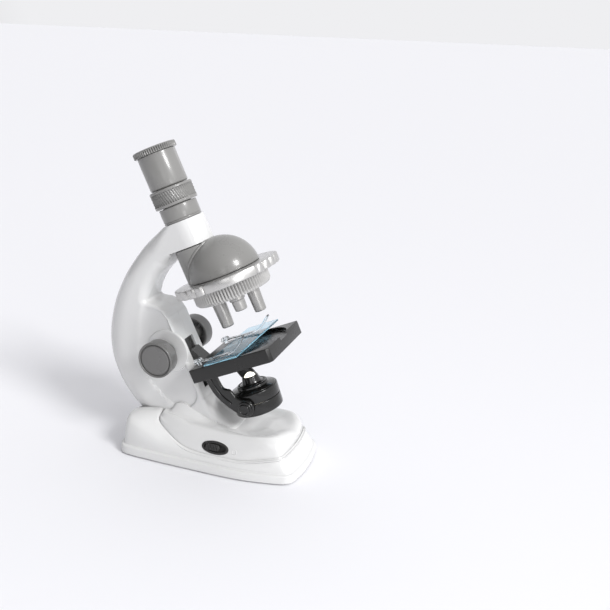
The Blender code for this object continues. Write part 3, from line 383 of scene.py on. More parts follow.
def carve(obj, tools, operation="DIFFERENCE"):
    """Cuts or joins with the tools, applies it and removes them."""
    for tool in tools:
        boolean = obj.modifiers.new("carve", "BOOLEAN")
        boolean.operation = operation
        boolean.object = tool
        boolean.solver = "EXACT"
    bpy.context.view_layer.update()
    graph = bpy.context.evaluated_depsgraph_get()
    mesh = bpy.data.meshes.new_from_object(obj.evaluated_get(graph))
    obj.modifiers.clear()
    obj.data = mesh
    mesh.shade_smooth()
    mesh.set_sharp_from_angle(angle=math.radians(CREASE))
    for tool in tools:
        bpy.data.objects.remove(tool, do_unlink=True)
    return obj


def stadium(length, width, steps=14):
    radius, half = width / 2, length / 2 - width / 2
    points = []
    for start, side in ((-math.pi / 2, 1), (math.pi / 2, -1)):
        for i in range(steps + 1):
            a = start + math.pi * i / steps
            points.append((side * half + radius * math.cos(a), radius * math.sin(a)))
    return points


# ---------------------------------------------------------------- arm

def arm_points():
    """(x, z, reach of the edge rounding, its depth, inward direction or None, smooth to the next)."""
    forward, backward = (CT, ST), (-CT, -ST)
    points = [
        (-57.5, 9.6, 8.0, 8.0, None, True),
        (-61.8, 15.4, 13.0, 10.5, None, True),
        (-69.3, 22.0, 14.0, 10.5, None, True),
        (-78.8, 30.6, 15.0, 10.5, None, True),
        (-87.2, 41.6, 15.5, 10.5, None, True),
        (-93.2, 54.0, 16.0, 10.5, None, True),
        (-96.5, 67.2, 16.0, 10.5, None, True),
        (-96.7, 82.4, 16.0, 10.5, None, True),
        (-93.9, 97.8, 15.0, 10.5, None, True),
        (-89.4, 111.2, 13.5, 10.5, None, True),
        (-82.4, 125.6, 12.0, 10.5, None, True),
        (-73.5, 139.2, 11.5, 11.0, None, True),
        (-63.0, 152.0, 11.5, 11.5, None, False),
    ]
    for s, h, inward in ((-14.0, 94.5, forward), (14.0, 94.5, backward), (14.0, 76.8, backward),
                         (-14.0, 76.8, forward)):
        x, z = point(s, h)
        points.append((x, z, 13.2, 13.2, inward, False))
    points += [
        (-47.6, 137.7, 8.5, 9.5, None, True),
        (-54.6, 129.2, 8.0, 9.0, None, True),
        (-59.8, 120.8, 7.5, 8.0, None, True),
        (-63.4, 112.0, 6.0, 6.0, None, True),
        (-63.6, 109.4, 4.5, 4.5, None, True),
        (-61.2, 108.3, 3.5, 3.5, None, True),
        (-55.6, 107.8, 2.6, 2.6, None, True),
        (-50.0, 105.4, 2.6, 2.6, None, True),
        (-46.2, 101.2, 2.6, 2.6, None, True),
    ]
    x, z = point(-33.5, 31.0)
    points.append((x, z, 2.6, 2.6, None, False))
    x, z = point(-33.5, -21.0)
    points.append((x, z, 2.6, 2.6, None, True))
    points += [(-18.6, 43.6, 3.6, 3.6, None, True), (-14.6, 38.6, 5.0, 5.0, None, True),
               (-9.0, 34.0, 6.0, 6.0, None, True), (-2.4, 30.0, 6.0, 6.0, None, True),
               (5.6, 26.2, 4.0, 4.0, None, False), (2.0, 21.0, 2.6, 2.6, None, False),
               (-15.2, 12.0, 2.6, 2.6, None, False), (-18.0, 9.6, 2.0, 2.0, None, False)]
    return points


PANEL = [(-65.0, 109.0), (-59.4, 108.2), (-52.5, 105.6), (-48.2, 101.4), (-44.6, 94.6),
         (-39.6, 83.0), (-33.9, 69.8), (-29.4, 59.6), (-25.2, 51.0), (-24.6, 43.8), (-27.6, 38.2),
         (-33.2, 34.8), (-41.1, 34.6), (-49.2, 39.0), (-58.4, 47.2), (-67.2, 57.0), (-70.9, 68.2),
         (-70.6, 84.1), (-69.6, 97.0), (-67.7, 104.9)]


def depth_inside(spot, loop):
    """Distance of a point from a closed loop, negative outside it."""
    best = 1e9
    inside = False
    for a, b in zip(loop, loop[1:] + loop[:1]):
        ab = b - a
        t = clamp((spot - a).dot(ab) / max(ab.length_squared, 1e-12))
        best = min(best, (spot - a - ab * t).length)
        if (a.y > spot.y) != (b.y > spot.y):
            if spot.x < a.x + (spot.y - a.y) / (b.y - a.y) * (b.x - a.x):
                inside = not inside
    return best if inside else -best


def arm_section(steps=5):
    points = arm_points()
    count = len(points)
    inward = []
    for i in range(count):
        if points[i][4] is not None:
            inward.append(Vector(points[i][4]))
            continue
        here = Vector(points[i][:2])
        along = ((here - Vector(points[i - 1][:2])).normalized()
                 + (Vector(points[(i + 1) % count][:2]) - here).normalized())
        inward.append(-Vector((-along.y, along.x)).normalized())
    section = []
    for i in range(count):
        j = (i + 1) % count
        p = [Vector(points[k % count][:2]) for k in (i - 1, i, i + 1, i + 2)]
        straight = (p[2] - p[1]).length > 12 and points[i][4] == points[j][4]
        many = steps if points[i][5] or straight else 1
        for k in range(many):
            t = k / many
            spot = through(p, t) if points[i][5] else p[1].lerp(p[2], t)
            share = ease(t)
            reach = points[i][2] * (1 - share) + points[j][2] * share
            depth = points[i][3] * (1 - share) + points[j][3] * share
            direction = inward[i].lerp(inward[j], t).normalized()
            section.append((spot, reach, depth, direction))
    return section


def arm_rings(turns=12):
    """Rings of (place, y) from the joint face round the edge to the flat side."""
    section = arm_section()
    rings = [[(spot, 0.06) for spot, _, _, _ in section]]
    for k in range(turns + 1):
        a = math.pi / 2 * k / turns
        rings.append([(spot + direction * reach * (1 - math.cos(a)), ARM_HALF - depth * (1 - math.sin(a)))
                      for spot, reach, depth, direction in section])
    return rings


def flat_side(edge, panel):
    """Triangles of the flat side: its edge, the panel's rim and a grid between."""
    count = len(edge)
    seeds = []
    for offset in (-0.6, 0.0, 0.8, 1.6, 2.4):
        seeds += [Vector(q) for q in inset_outline([tuple(p) for p in panel], -offset)]
    seeds += [Vector((gx + 0.37, gz + 0.21)) for gx in range(-100, -10, 3) for gz in range(12, 172, 3)]
    used = edge + [q for q in seeds if depth_inside(q, edge) >= 0.35]
    borders = [(i, (i + 1) % count) for i in range(count)]
    made = delaunay_2d_cdt(used, borders, [], 1, 1e-6)
    return made[0], made[2], [[i for i in origins if i < count] for origins in made[3]]


def panel_height(spot, y, panel):
    """Half width at a place of the arm: the panel is sunk, and its upper rear rim fades out."""
    soft = clamp((-spot.x - 48.0) / 14.0) * clamp((spot.y - 52.0) / 30.0)
    f = clamp((depth_inside(spot, panel) + 0.4) / (1.5 + 4.5 * soft))
    return y - PANEL_DEPTH * ease(f) * clamp((y - 11.0) / 3.0)


def arm_tools(side):
    tools = [
        flat_tool("slot_cutter", rectangle(-6.0, -18.75, 6.0, 18.75), -5.75, 5.75,
                  tilted(-33.5, 0, -1.25) @ on_edge()),
        turned_tool("bore_cutter", [(0, 100), (12.2, 100), (12.2, 60), (0, 60)], tilted(), 96),
        flat_tool("under_cutter", rectangle(-13.0, -20.0, 23.0, 20.0), 60.8, 76.8, tilted()),
    ]
    if side > 0:
        tools += [turned_tool(f"sink_cutter_{k}", [(0, 20), (2.8, 20), (2.8, 9.4), (0, 9.4)],
                              local(x, 0, z) @ side_turn(1), 24)
                  for k, (x, z) in enumerate(((-70.5, 126.0), (-85.5, 76.0), (-62.0, 44.0)))]
    return tools


def make_arm():
    panel = catmull([Vector(p) for p in PANEL], 4, True)
    rings = arm_rings()
    spots, faces, on_rim = flat_side([p for p, _ in rings[-1]], panel)
    for side, tag in SIDES:
        bm = bmesh.new()

        def vertex(p, y):
            return bm.verts.new(((p.x + AXIS_X) * MM, side * panel_height(p, y, panel) * MM, p.y * MM))

        rows = [[vertex(p, y) for p, y in ring] for ring in rings]
        count = len(rows[0])
        for a, b in zip(rows, rows[1:]):
            for i in range(count):
                j = (i + 1) % count
                bm.faces.new((a[i], a[j], b[j], b[i]))
        caps = [rows[-1][own[0]] if own else vertex(q, ARM_HALF) for q, own in zip(spots, on_rim)]
        for face in faces:
            corners = list(dict.fromkeys(caps[i] for i in face))
            if len(corners) > 2:
                bm.faces.new(corners)
        arm = finish_piece(f"arm_{tag}", bm, WHITE, "stand", [f"arm_{tag}_shell"],
                           50.0)
        thicken(arm, ARM_WALL)
        carve(arm, arm_tools(side))


# ---------------------------------------------------------------- foot and deck

FOOT = [
    ((-79.0, 0.0), (-75.5, 0.0, 21.5), (-72.6, 0.0, 22.4)),
    ((-79.0, 12.0), (-75.4, 11.0, 23.0), (-72.6, 9.5, 24.6)),
    ((-78.6, 23.0), (-74.8, 21.0, 24.0), (-71.2, 14.7, 27.6)),
    ((-77.2, 29.6), (-73.2, 27.2, 24.0), (-68.4, 14.7, 29.0)),
    ((-73.4, 33.9), (-70.0, 30.6, 23.6), (-64.4, 14.7, 30.0)),
    ((-65.0, 35.3), (-63.0, 32.0, 22.0), (-57.6, 14.7, 31.0)),
    ((-57.0, 35.6), (-56.2, 32.3, 19.6), (-51.2, 14.7, 31.2)),
    ((-50.0, 35.8), (-49.6, 32.4, 17.0), (-50.2, 22.0, 26.0)),
    ((-40.0, 36.0), (-40.0, 32.5, 12.8), (-40.5, 26.4, 20.0)),
    ((-28.0, 36.0), (-28.0, 33.0, 9.9), (-28.0, 29.4, 14.2)),
    ((-14.0, 36.0), (-14.0, 33.3, 8.8), (-14.0, 30.3, 12.2)),
    ((2.0, 36.0), (2.0, 33.3, 8.7), (2.0, 30.2, 12.0)),
    ((17.0, 35.3), (16.8, 32.6, 8.8), (16.5, 29.6, 12.4)),
    ((31.0, 33.2), (30.2, 30.6, 9.1), (29.0, 27.5, 14.8)),
    ((42.0, 30.8), (40.5, 28.2, 9.4), (37.5, 25.6, 16.6)),
    ((48.8, 28.4), (46.4, 26.0, 9.6), (42.0, 23.5, 17.4)),
    ((52.4, 24.2), (49.6, 22.0, 9.6), (43.9, 19.4, 17.8)),
    ((54.3, 16.0), (51.4, 14.5, 9.6), (45.0, 13.0, 18.0)),
    ((55.2, 8.0), (52.3, 7.2, 9.6), (45.6, 6.5, 18.0)),
    ((55.5, 0.0), (52.5, 0.0, 9.6), (45.8, 0.0, 18.0)),
]

DECK = [
    ((-50.0, 0.0, 27.4), (-49.9, 0.0, 29.0), (-49.3, 0.0, 31.0), (-41.0, 0.0, 34.0)),
    ((-50.0, 14.0, 27.2), (-49.9, 13.5, 29.4), (-49.2, 13.0, 31.6), (-41.0, 10.0, 35.5)),
    ((-49.9, 21.8, 26.6), (-49.4, 20.4, 28.8), (-48.0, 18.6, 31.0), (-41.0, 14.2, 37.0)),
    ((-40.3, 26.2, 20.5), (-39.8, 24.0, 26.6), (-39.0, 20.8, 30.6), (-35.5, 14.2, 38.4)),
    ((-28.0, 29.2, 14.7), (-28.0, 25.5, 25.2), (-28.0, 22.6, 28.8), (-27.0, 14.2, 35.0)),
    ((-14.0, 30.1, 12.7), (-14.0, 25.5, 25.0), (-14.0, 22.9, 28.0), (-14.0, 14.2, 30.0)),
    ((2.0, 30.0, 12.5), (2.0, 25.5, 25.0), (2.0, 22.9, 27.8), (-1.0, 14.0, 26.6)),
    ((16.5, 29.4, 12.9), (15.4, 25.2, 25.0), (14.8, 22.8, 28.0), (9.0, 13.5, 25.4)),
    ((28.8, 27.3, 15.3), (26.6, 24.4, 26.2), (25.0, 22.2, 29.0), (15.5, 12.0, 25.0)),
    ((37.3, 25.4, 17.1), (34.4, 22.6, 27.2), (32.0, 20.4, 29.6), (20.0, 10.0, 25.8)),
    ((41.7, 23.3, 17.9), (39.4, 19.4, 27.8), (36.2, 17.2, 30.0), (23.4, 7.8, 26.8)),
    ((43.6, 19.2, 18.3), (42.4, 15.0, 28.0), (38.8, 13.0, 30.0), (25.8, 5.4, 27.4)),
    ((44.7, 12.9, 18.5), (44.9, 10.0, 27.8), (41.2, 8.6, 29.8), (27.6, 3.4, 27.5)),
    ((45.3, 6.4, 18.5), (46.4, 5.0, 26.8), (42.8, 4.3, 28.8), (28.6, 1.6, 27.5)),
    ((45.5, 0.0, 18.5), (46.9, 0.0, 25.8), (43.4, 0.0, 28.0), (29.0, 0.0, 27.5)),
]


def full_loop(half):
    mirrored = [tuple((p[0], -p[1], *p[2:]) for p in station) for station in half]
    return mirrored + list(reversed(half[1:-1]))


def smooth_ring(ring, steps=4):
    return catmull([Vector(p) for p in ring], steps, True)


def skin_rows(name, columns, cap, wall, nodes):
    """Columns round the perimeter, each a list of points from the rim inward."""
    bm = bmesh.new()
    grid = []
    for column in columns:
        grid.append([bm.verts.new(((p.x + AXIS_X) * MM, p.y * MM, p.z * MM)) for p in column])
    count = len(grid)
    for i in range(count):
        a, b = grid[i], grid[(i + 1) % count]
        for k in range(len(a) - 1):
            bm.faces.new((a[k], b[k], b[k + 1], a[k + 1]))
    if cap:
        last = [column[-1] for column in grid]
        for i in range(count // 2):
            corners = [last[i], last[i + 1], last[-(i + 1) % count], last[-i % count]]
            unique = list(dict.fromkeys(corners))
            if len(unique) > 2:
                bm.faces.new(unique)
    obj = finish_piece(name, bm, WHITE, "stand", nodes, 50.0)
    thicken(obj, wall)
    return obj


def make_foot():
    loop = full_loop(FOOT)
    edge = smooth_ring([(p[0][0], p[0][1], 0.0) for p in loop])
    outline = [(p.x, p.y) for p in edge]
    rings = [[Vector((p.x, p.y, 1.0)) for p in edge]]
    for inset, z in ((0.0, 1.6), (0.2, 5.4), (0.35, 6.1), (0.7, 6.6), (1.2, 6.85), (2.0, 7.0),
                     (2.35, 7.15)):
        moved = inset_outline(outline, inset)
        rings.append([Vector((x, y, z)) for x, y in moved])
    foot_in = [Vector((x, y, 7.5)) for x, y in inset_outline(outline, 2.5)]
    shoulder = smooth_ring([p[1] for p in loop])
    lip = smooth_ring([p[2] for p in loop])
    columns = []
    for i in range(len(edge)):
        a, b = shoulder[i], lip[i]
        rise = 1.6 if a.x < -45 else 0.5 + 1.1 * clamp((-a.x - 30) / 15)
        crest = a * 0.45 + b * 0.55 + Vector((0, 0, rise))
        upper = catmull([foot_in[i], a, crest, b], 6)
        rolled = [b + Vector((0, 0, -0.25)), b + Vector((0, 0, -1.6))]
        columns.append([ring[i] for ring in rings] + upper + rolled)
    skin_rows("foot_body", columns, False, BASE_WALL, ["foot_shell"])


def make_deck():
    loop = full_loop(DECK)
    rings = [smooth_ring([p[k] for p in loop]) for k in range(4)]
    columns = []
    for i in range(len(rings[0])):
        seam, ridge, top, inner = (ring[i] for ring in rings)
        crown = Vector(((top.x + inner.x) / 2, (top.y + inner.y) / 2, min(top.z, inner.z) + 0.6))
        middle = seam.lerp(ridge, 0.5)
        swell = math.copysign(0.35, middle.y) if abs(middle.y) > 3 else 0.0
        middle = middle + Vector((0.2 if middle.x > 30 else 0.0, swell, 0.4))
        curve = catmull([seam, middle, ridge, top, crown, inner], 6)
        columns.append([seam + Vector((0, 0, -2.0)), seam + Vector((0, 0, -0.2))] + curve)
    deck = skin_rows("deck_body", columns, True, BASE_WALL, ["deck_shell"])
    carve(deck, [flat_tool("switch_cutter", oval(20.2, 9.4), -7.0, 4.0, switch_frame())])


def oval(length, width, steps=40):
    """An oval with slightly fuller sides than an ellipse."""
    points = []
    for k in range(steps):
        a = math.tau * k / steps
        side = math.copysign(abs(math.sin(a)) ** 0.9, math.sin(a))
        points.append((length / 2 * math.cos(a), width / 2 * side))
    return points


def switch_frame(dx=0.0):
    return (local(-3.5, -28.15, 17.3) @ Matrix.Rotation(math.radians(70.5), 4, "X")
            @ Matrix.Translation((dx, 0, 0)))


def make_switch():
    bm = bmesh.new()
    plate_into(bm, oval(19.9, 9.0), -5.0, 0.9, switch_frame(), 0.5)
    body = finish_piece("switch_plate", bm, SWITCH, "stand", ["switch_body"])
    carve(body, [flat_tool("slot_cutter", oval(16.6, 6.2), -1.6, 3.0, switch_frame())])
    bm = bmesh.new()
    plate_into(bm, stadium(10.6, 4.6), -1.3, 0.9, switch_frame(-2.1), 0.35)
    for k in range(8):
        x = -4.2 + 1.2 * k
        reach = 1.75 if abs(x) > 3.8 else 2.1
        plate_into(bm, stadium(2 * reach, 0.56, 5), 0.6, 1.6,
                   switch_frame(-2.1 + x) @ Matrix.Rotation(math.pi / 2, 4, "Z"), 0.2, 2)
    finish_piece("switch_button", bm, SWITCH, "switch", ["switch_knob"])
    marks = bmesh.new()
    plate_into(marks, stadium(3.2, 0.7, 6), -0.6, 0.5,
               switch_frame(-14.2) @ Matrix.Translation((0, 0.4, 0))
               @ Matrix.Rotation(math.pi / 2, 4, "Z"), 0.15, 2)
    ring = [(1.7 + 0.35 * math.cos(math.tau * k / 12), -0.1 + 0.6 * math.sin(math.tau * k / 12))
            for k in range(12)]
    lathe_into(marks, ring, switch_frame(14.2) @ Matrix.Translation((0, -0.2, 0.05)), 32, True)
    finish_piece("switch_marks", marks, WHITE, "stand", [])


# ---------------------------------------------------------------- focus and stage

def make_knobs():
    for side, tag in SIDES:
        matrix = tilted(KNOB_S, 0, KNOB_H) @ side_turn(side)
        face = [(0.0, 31.7), (9.9, 31.7), (10.5, 31.3), (10.8, 30.5), (11.15, 30.5), (11.45, 31.6),
                (12.0, 31.95), (12.6, 31.6), (12.78, 30.9), (12.35, 22.6), (11.7, 22.4),
                (10.8, 22.7), (10.6, 29.6), (6.2, 29.6), (5.8, 14.6), (2.7, 14.6), (2.7, 26.4),
                (0.0, 26.4)]
        bm = bmesh.new()
        lathe_into(bm, fillet(face, 0.25, 2), matrix, 96)
        for k in range(3):
            a = math.tau * k / 3 + 0.5
            rib = matrix @ Matrix.Rotation(-side * a, 4, "Z") @ Matrix.Translation((8.3, 0, 27.6))
            plate_into(bm, rectangle(-3.2, -0.6, 3.2, 0.6), -2.6, 2.4, rib, 0.15, 2)
        finish_piece(f"focus_knob_{tag}", bm, KNOB, "knobs", [f"knob_{tag}"])
    seat = [(15.9, 12.4), (15.7, 13.5), (15.0, 13.95), (6.6, 14.05), (6.2, 13.8), (6.1, 12.4)]
    lathe("knob_seat", fillet(seat, 0.4, 3), tilted(KNOB_S, 0, KNOB_H) @ side_turn(-1), WHITE,
          "stand", [], 96)


def make_stage():
    outline = [(-25.7, -28.2), (34.6, -28.2), (36.5, -26.3), (36.5, 28.2), (-25.7, 28.2)]
    outline = fillet(outline, 0.6, 4, True)
    bm = bmesh.new()
    plate_into(bm, outline, -9.5, 0.0, tilted(), 0.45)
    stage = finish_piece("stage_table", bm, STAGE, "stage", ["stage_plate"])
    hollow = [(-23.5, -26.0), (30.3, -26.0), (34.3, -22.0), (34.3, 26.0), (-23.5, 26.0)]
    carve(stage, [
        turned_tool("well_cutter", [(0, 3), (26.5, 3), (26.5, -2.3), (26.3, -2.5), (0, -2.5)],
                    tilted(10.7, 0, 0), 160),
        turned_tool("aperture_cutter", [(0, 3), (6.5, 3), (6.5, -12), (0, -12)], tilted(), 64),
        flat_tool("under_cutter", hollow, -14.0, -4.7, tilted(), 0.8, 3),
    ])


def strap_outline():
    upper = [(-3.0, 3.3), (5.0, 3.3), (12.0, 3.0), (24.0, 3.1), (29.0, 4.4), (33.0, 6.6),
             (36.6, 9.4), (39.2, 11.3)]
    lower = [(39.7, 10.4), (37.4, 8.2), (33.8, 5.4), (29.6, 3.1), (24.2, 2.0), (12.0, 1.9),
             (5.0, 2.2), (-3.0, 2.2)]
    line = catmull([Vector(p) for p in upper], 4) + catmull([Vector(p) for p in lower], 4)
    return [(p.x, p.y) for p in reversed(line)]


def make_clips():
    for side, tag in SIDES:
        body = f"clip_{tag[0]}"
        bm = bmesh.new()
        matrix = tilted(-19.5, side * 21.5, 0)
        plate_into(bm, strap_outline(), -2.0, 2.0,
                   matrix @ on_edge(), 0.25, 2)
        strap = finish_piece(f"clip_strap_{tag}", bm, CLEAR, body, [f"clip_{tag}"])
        eye = [(0, 3.42), (3.2, 3.42), (3.4, 3.2), (3.4, 2.3), (3.2, 2.1), (0, 2.1)]
        carve(strap, [turned_tool("eye_tool", eye, matrix, 40)], "UNION")
        carve(strap, [turned_tool("eye_hole", [(0, 6), (1.6, 6), (1.6, 0), (0, 0)], matrix, 28)])
        post = [(0, 4.7), (0.9, 4.7), (1.1, 5.0), (2.3, 5.0), (3.0, 4.5), (3.2, 4.0), (3.1, 3.6),
                (1.3, 3.5), (1.3, -4.2), (0, -4.2)]
        lathe(f"clip_stud_{tag}", fillet(post, 0.2, 2), matrix, CLEAR, "stage",
              [f"clip_post_{tag}"], 36)


def make_slide():
    outline = fillet(rectangle(-13.2, -37.5, 13.2, 37.5), 0.7, 3, True)
    plate("glass_slide", outline, 0.3, 1.5, tilted(1.05, 8.0, 0), BLUE, "specimen",
          ["specimen_slide"], 0.22)


# ---------------------------------------------------------------- lamp

def lamp_frame():
    return tilted(LAMP_S, 0, LAMP_H) @ Matrix.Rotation(LAMP_LEAN, 4, "Y")


def make_lamp():
    side = [(-21.5, -5.0), (-21.2, -12.0), (-20.0, -20.0), (-17.6, -26.8), (-12.8, -34.6),
            (-7.0, -41.0), (-1.2, -44.0), (3.2, -42.4), (5.0, -38.0), (3.2, -33.6), (-1.2, -31.8),
            (-4.4, -29.0), (-5.8, -25.4), (-7.2, -22.4), (-9.4, -21.4), (-11.4, -19.4),
            (-12.2, -12.6), (-12.6, -5.0)]
    outline = [tuple(p) for p in catmull([Vector(p) for p in side], 3, True)]
    bm = bmesh.new()
    for low, high in ((17.9, 20.5), (-20.5, -17.9)):
        plate_into(bm, outline, low, high, tilted() @ on_edge(), 0.7)
    rib = [(-18.4, -8.0), (-17.6, -16.0), (-15.4, -24.4), (-10.6, -32.0), (-9.6, -31.2),
           (-14.2, -23.8), (-16.2, -15.8), (-17.0, -8.0)]
    rib = [tuple(p) for p in catmull([Vector(p) for p in rib], 3, True)]
    plate_into(bm, rib, 20.0, 21.2, tilted() @ on_edge(), 0.3)
    plate_into(bm, fillet(rectangle(-2.5, -2.5, 2.5, 2.5), 1.0, 3, True),
               -19.0, 19.0, tilted(-17.5, 0, -8.2) @ on_edge(), 0.3)
    finish_piece("lamp_bracket", bm, BLACK, "stage", ["lamp_yoke"])
    for way, tag in SIDES:
        matrix = tilted(LAMP_S, 0, LAMP_H) @ side_turn(way)
        pin = [(0, 22.5), (2.8, 22.5), (3.0, 23.0), (3.5, 23.0), (3.9, 22.6), (3.9, 21.7),
               (4.8, 21.7), (5.2, 21.4), (5.2, 20.8), (2.0, 20.8), (2.0, 14.4), (0, 14.4)]
        lathe(f"lamp_pin_{tag}", fillet(pin, 0.2, 2), matrix, BLACK, "lamp", [f"lamp_pivot_{tag}"],
              48)
    upper = [(9.2, 11.2), (10.5, 11.2), (11.1, 10.6), (11.1, 9.4), (11.5, 9.1), (15.7, 8.3),
             (15.8, 7.9), (16.3, 7.9), (17.0, 7.3), (17.0, 0.22), (15.0, 0.22), (15.0, 6.0),
             (9.2, 7.4)]
    lathe("lamp_case_upper", fillet(upper, 0.4, 3, True), lamp_frame(), BLACK, "lamp",
          ["lamp_upper_case"], 128, True)
    lower = [(0.0, -4.0), (14.6, -4.0), (14.6, -0.12), (17.0, -0.12), (17.0, -7.6), (16.2, -8.5),
             (13.6, -8.6), (13.6, -6.0), (0.0, -6.0)]
    lathe("lamp_case_lower", fillet(lower, 0.4, 3), lamp_frame(), BLACK, "lamp",
          ["lamp_lower_case"], 128)
    collar = [(4.5, 16.5), (5.3, 16.6), (5.7, 16.1), (5.9, 15.2), (6.5, 12.6), (6.9, 11.4),
              (8.8, 11.2), (8.8, 4.4), (4.5, 4.4)]
    lathe("lamp_neck", fillet(collar, 0.25, 2, True), lamp_frame(), BLACK, "lamp",
          ["lamp_collar"], 64, True)
    bulb = [(0.0, 18.6), (1.0, 18.5), (2.0, 18.1), (3.0, 17.3), (3.7, 16.4), (4.1, 15.4),
            (4.2, 14.6), (4.2, 5.0), (0.0, 5.0)]
    lathe("lamp_lens", bulb, lamp_frame(), GLOW, "lamp", ["lamp_bulb"], 48)


# ---------------------------------------------------------------- head and turret

def quarter(radius, first, last, steps):
    """Points of an arc about the dome's centre, between two angles in degrees."""
    points = []
    for k in range(steps + 1):
        a = math.radians(first + (last - first) * k / steps)
        points.append((radius * math.cos(a), DOME_BASE + radius * math.sin(a)))
    return points


def make_head():
    bm = bmesh.new()
    outside = [(0.0, DOME_BASE + DOME_R)] + quarter(DOME_R, 90.0, 2.0, 31)[1:]
    outside += [(DOME_R, DOME_BASE + 0.35), (DOME_R - 0.2, DOME_BASE), (DOME_INNER_R, DOME_BASE)]
    inside = quarter(DOME_INNER_R, 0.0, 90.0, 16)[1:-1] + [(0.0, DOME_BASE + DOME_INNER_R)]
    lathe_into(bm, outside + inside, tilted(TURRET_S, 0, 0), 128)
    head = finish_piece("head_dome", bm, GREY, "stand", ["nosepiece_head"], 40.0)
    tube = [(0, 76.2), (13.5, 76.2), (HEAD_R, 75.7), (HEAD_R, DOME_BASE), (0, DOME_BASE)]
    boss = [(0, HEAD_TOP), (4.6, HEAD_TOP), (4.6, DOME_BASE), (0, DOME_BASE)]
    carve(head, [turned_tool("head_tube_tool", tube, tilted(), 96),
                 turned_tool("head_boss_tool", boss, tilted(TURRET_S, 0, 0), 32)], "UNION")
    carve(head, [
        turned_tool("head_bore_tool", [(0, 80), (9.3, 80), (9.3, 50), (0, 50)], tilted(), 64),
        turned_tool("head_screw_tool", [(0, 66), (2.1, 66), (2.1, 50), (0, 50)],
                    tilted(TURRET_S, 0, 0), 24),
        turned_tool("head_seat_tool", [(0, 90), (14.6, 90), (14.6, 76.5), (0, 76.5)], tilted(), 64),
        flat_tool("head_chamfer_tool", rectangle(-6, -20, 6, 20), 0.0, 6.0,
                  tilted(-12.8, 0, 74.85) @ Matrix.Rotation(-math.atan2(3.9, 5.2), 4, "Y"), 0.05),
    ])


def make_head_lip():
    """A round bead where the straight head meets the dome."""
    path = []
    for k in range(61):
        phi = math.radians(-117.0 + 234.0 * k / 60)
        x, y = HEAD_R * math.cos(phi), HEAD_R * math.sin(phi)
        left = DOME_R ** 2 - (x - TURRET_S) ** 2 - y ** 2
        if left > 0:
            path.append(Vector((x, y, min(HEAD_TOP, DOME_BASE + math.sqrt(left)))))
    bead = bmesh.new()
    rows = []
    radius, spokes = 0.95, 10
    for i, p in enumerate(path):
        along = (path[min(i + 1, len(path) - 1)] - path[max(i - 1, 0)]).normalized()
        across = along.cross(Vector((p.x, p.y, 0)).normalized()).normalized()
        out = across.cross(along).normalized()
        row = []
        for k in range(spokes):
            a = math.tau * k / spokes
            around = out * math.cos(a) + across * 1.3 * math.sin(a)
            row.append(bead.verts.new(tilted() @ (p + around * radius)))
        rows.append(row)
    for a, b in zip(rows, rows[1:]):
        for i in range(spokes):
            j = (i + 1) % spokes
            bead.faces.new((a[i], a[j], b[j], b[i]))
    bead.faces.new(rows[0])
    bead.faces.new(rows[-1])
    finish_piece("head_lip", bead, GREY, "stand", [], 60.0)


def disc_outline():
    points = []
    for group in range(3):
        centre = 120.0 * group
        for lobe in range(5):
            middle = centre - 24.0 + 12.0 * lobe
            for step in range(12):
                offset = -6.0 + step
                f = abs(math.cos(math.pi * offset / 12.0))
                radius = DISC_R - SCALLOP * (1.0 - f) ** 1.4
                a = math.radians(middle + offset)
                points.append((radius * math.cos(a), radius * math.sin(a)))
        for step in range(30):
            a = math.radians(centre + 30.0 + 2.0 * step)
            radius = DISC_R - (SCALLOP if step == 0 else 0.0)
            points.append((radius * math.cos(a), radius * math.sin(a)))
    return points


def make_turret():
    bm = bmesh.new()
    plate_into(bm, disc_outline(), 46.4, 52.4, tilted(TURRET_S, 0, 0), 0.55, 3, (0.0, 0.0))
    finish_piece("turret_wheel", bm, SILVER, "turret", ["turret_disc"])
    drum = [(5.0, 45.9), (5.0, 38.9), (24.8, 38.9), (24.8, 46.1), (26.9, 46.1), (26.9, 45.6),
            (26.9, 42.0), (26.9, 38.6), (26.7, 38.1), (25.4, 36.5), (24.9, 36.3), (2.3, 36.3),
            (2.3, 45.9)]
    bm = bmesh.new()
    lathe_into(bm, drum, tilted(TURRET_S, 0, 0), 624, True, Ribs(78, 1.5, 37.0, 45.7, 25.4))
    finish_piece("turret_grip", bm, GREY_DRUM, "turret", ["turret_drum"], 60.0)
    sizes = (("long", 180.0, 15.8, 4.9, 4.3), ("short", -60.0, 26.3, 4.5, 4.2),
             ("medium", 60.0, 17.5, 4.7, 4.2))
    for tag, azimuth, tip, radius, small in sizes:
        a = math.radians(azimuth)
        profile = [(5.4, 36.0), (5.4, 33.8), (radius, 33.3), (radius - 0.05, 31.0),
                   (small, tip + 0.8), (small - 0.15, tip + 0.3), (small - 0.6, tip), (2.4, tip),
                   (2.0, tip + 0.3), (2.0, tip + 1.2), (3.0, tip + 1.2), (3.0, 36.0)]
        lathe(f"objective_barrel_{tag}", fillet(profile, 0.2, 2, True),
              tilted(TURRET_S + OBJECTIVE_RING * math.cos(a), OBJECTIVE_RING * math.sin(a), 0),
              SILVER_DARK, "turret",
              [f"objective_{tag}"], 64, True)


# ---------------------------------------------------------------- tube and eyepiece

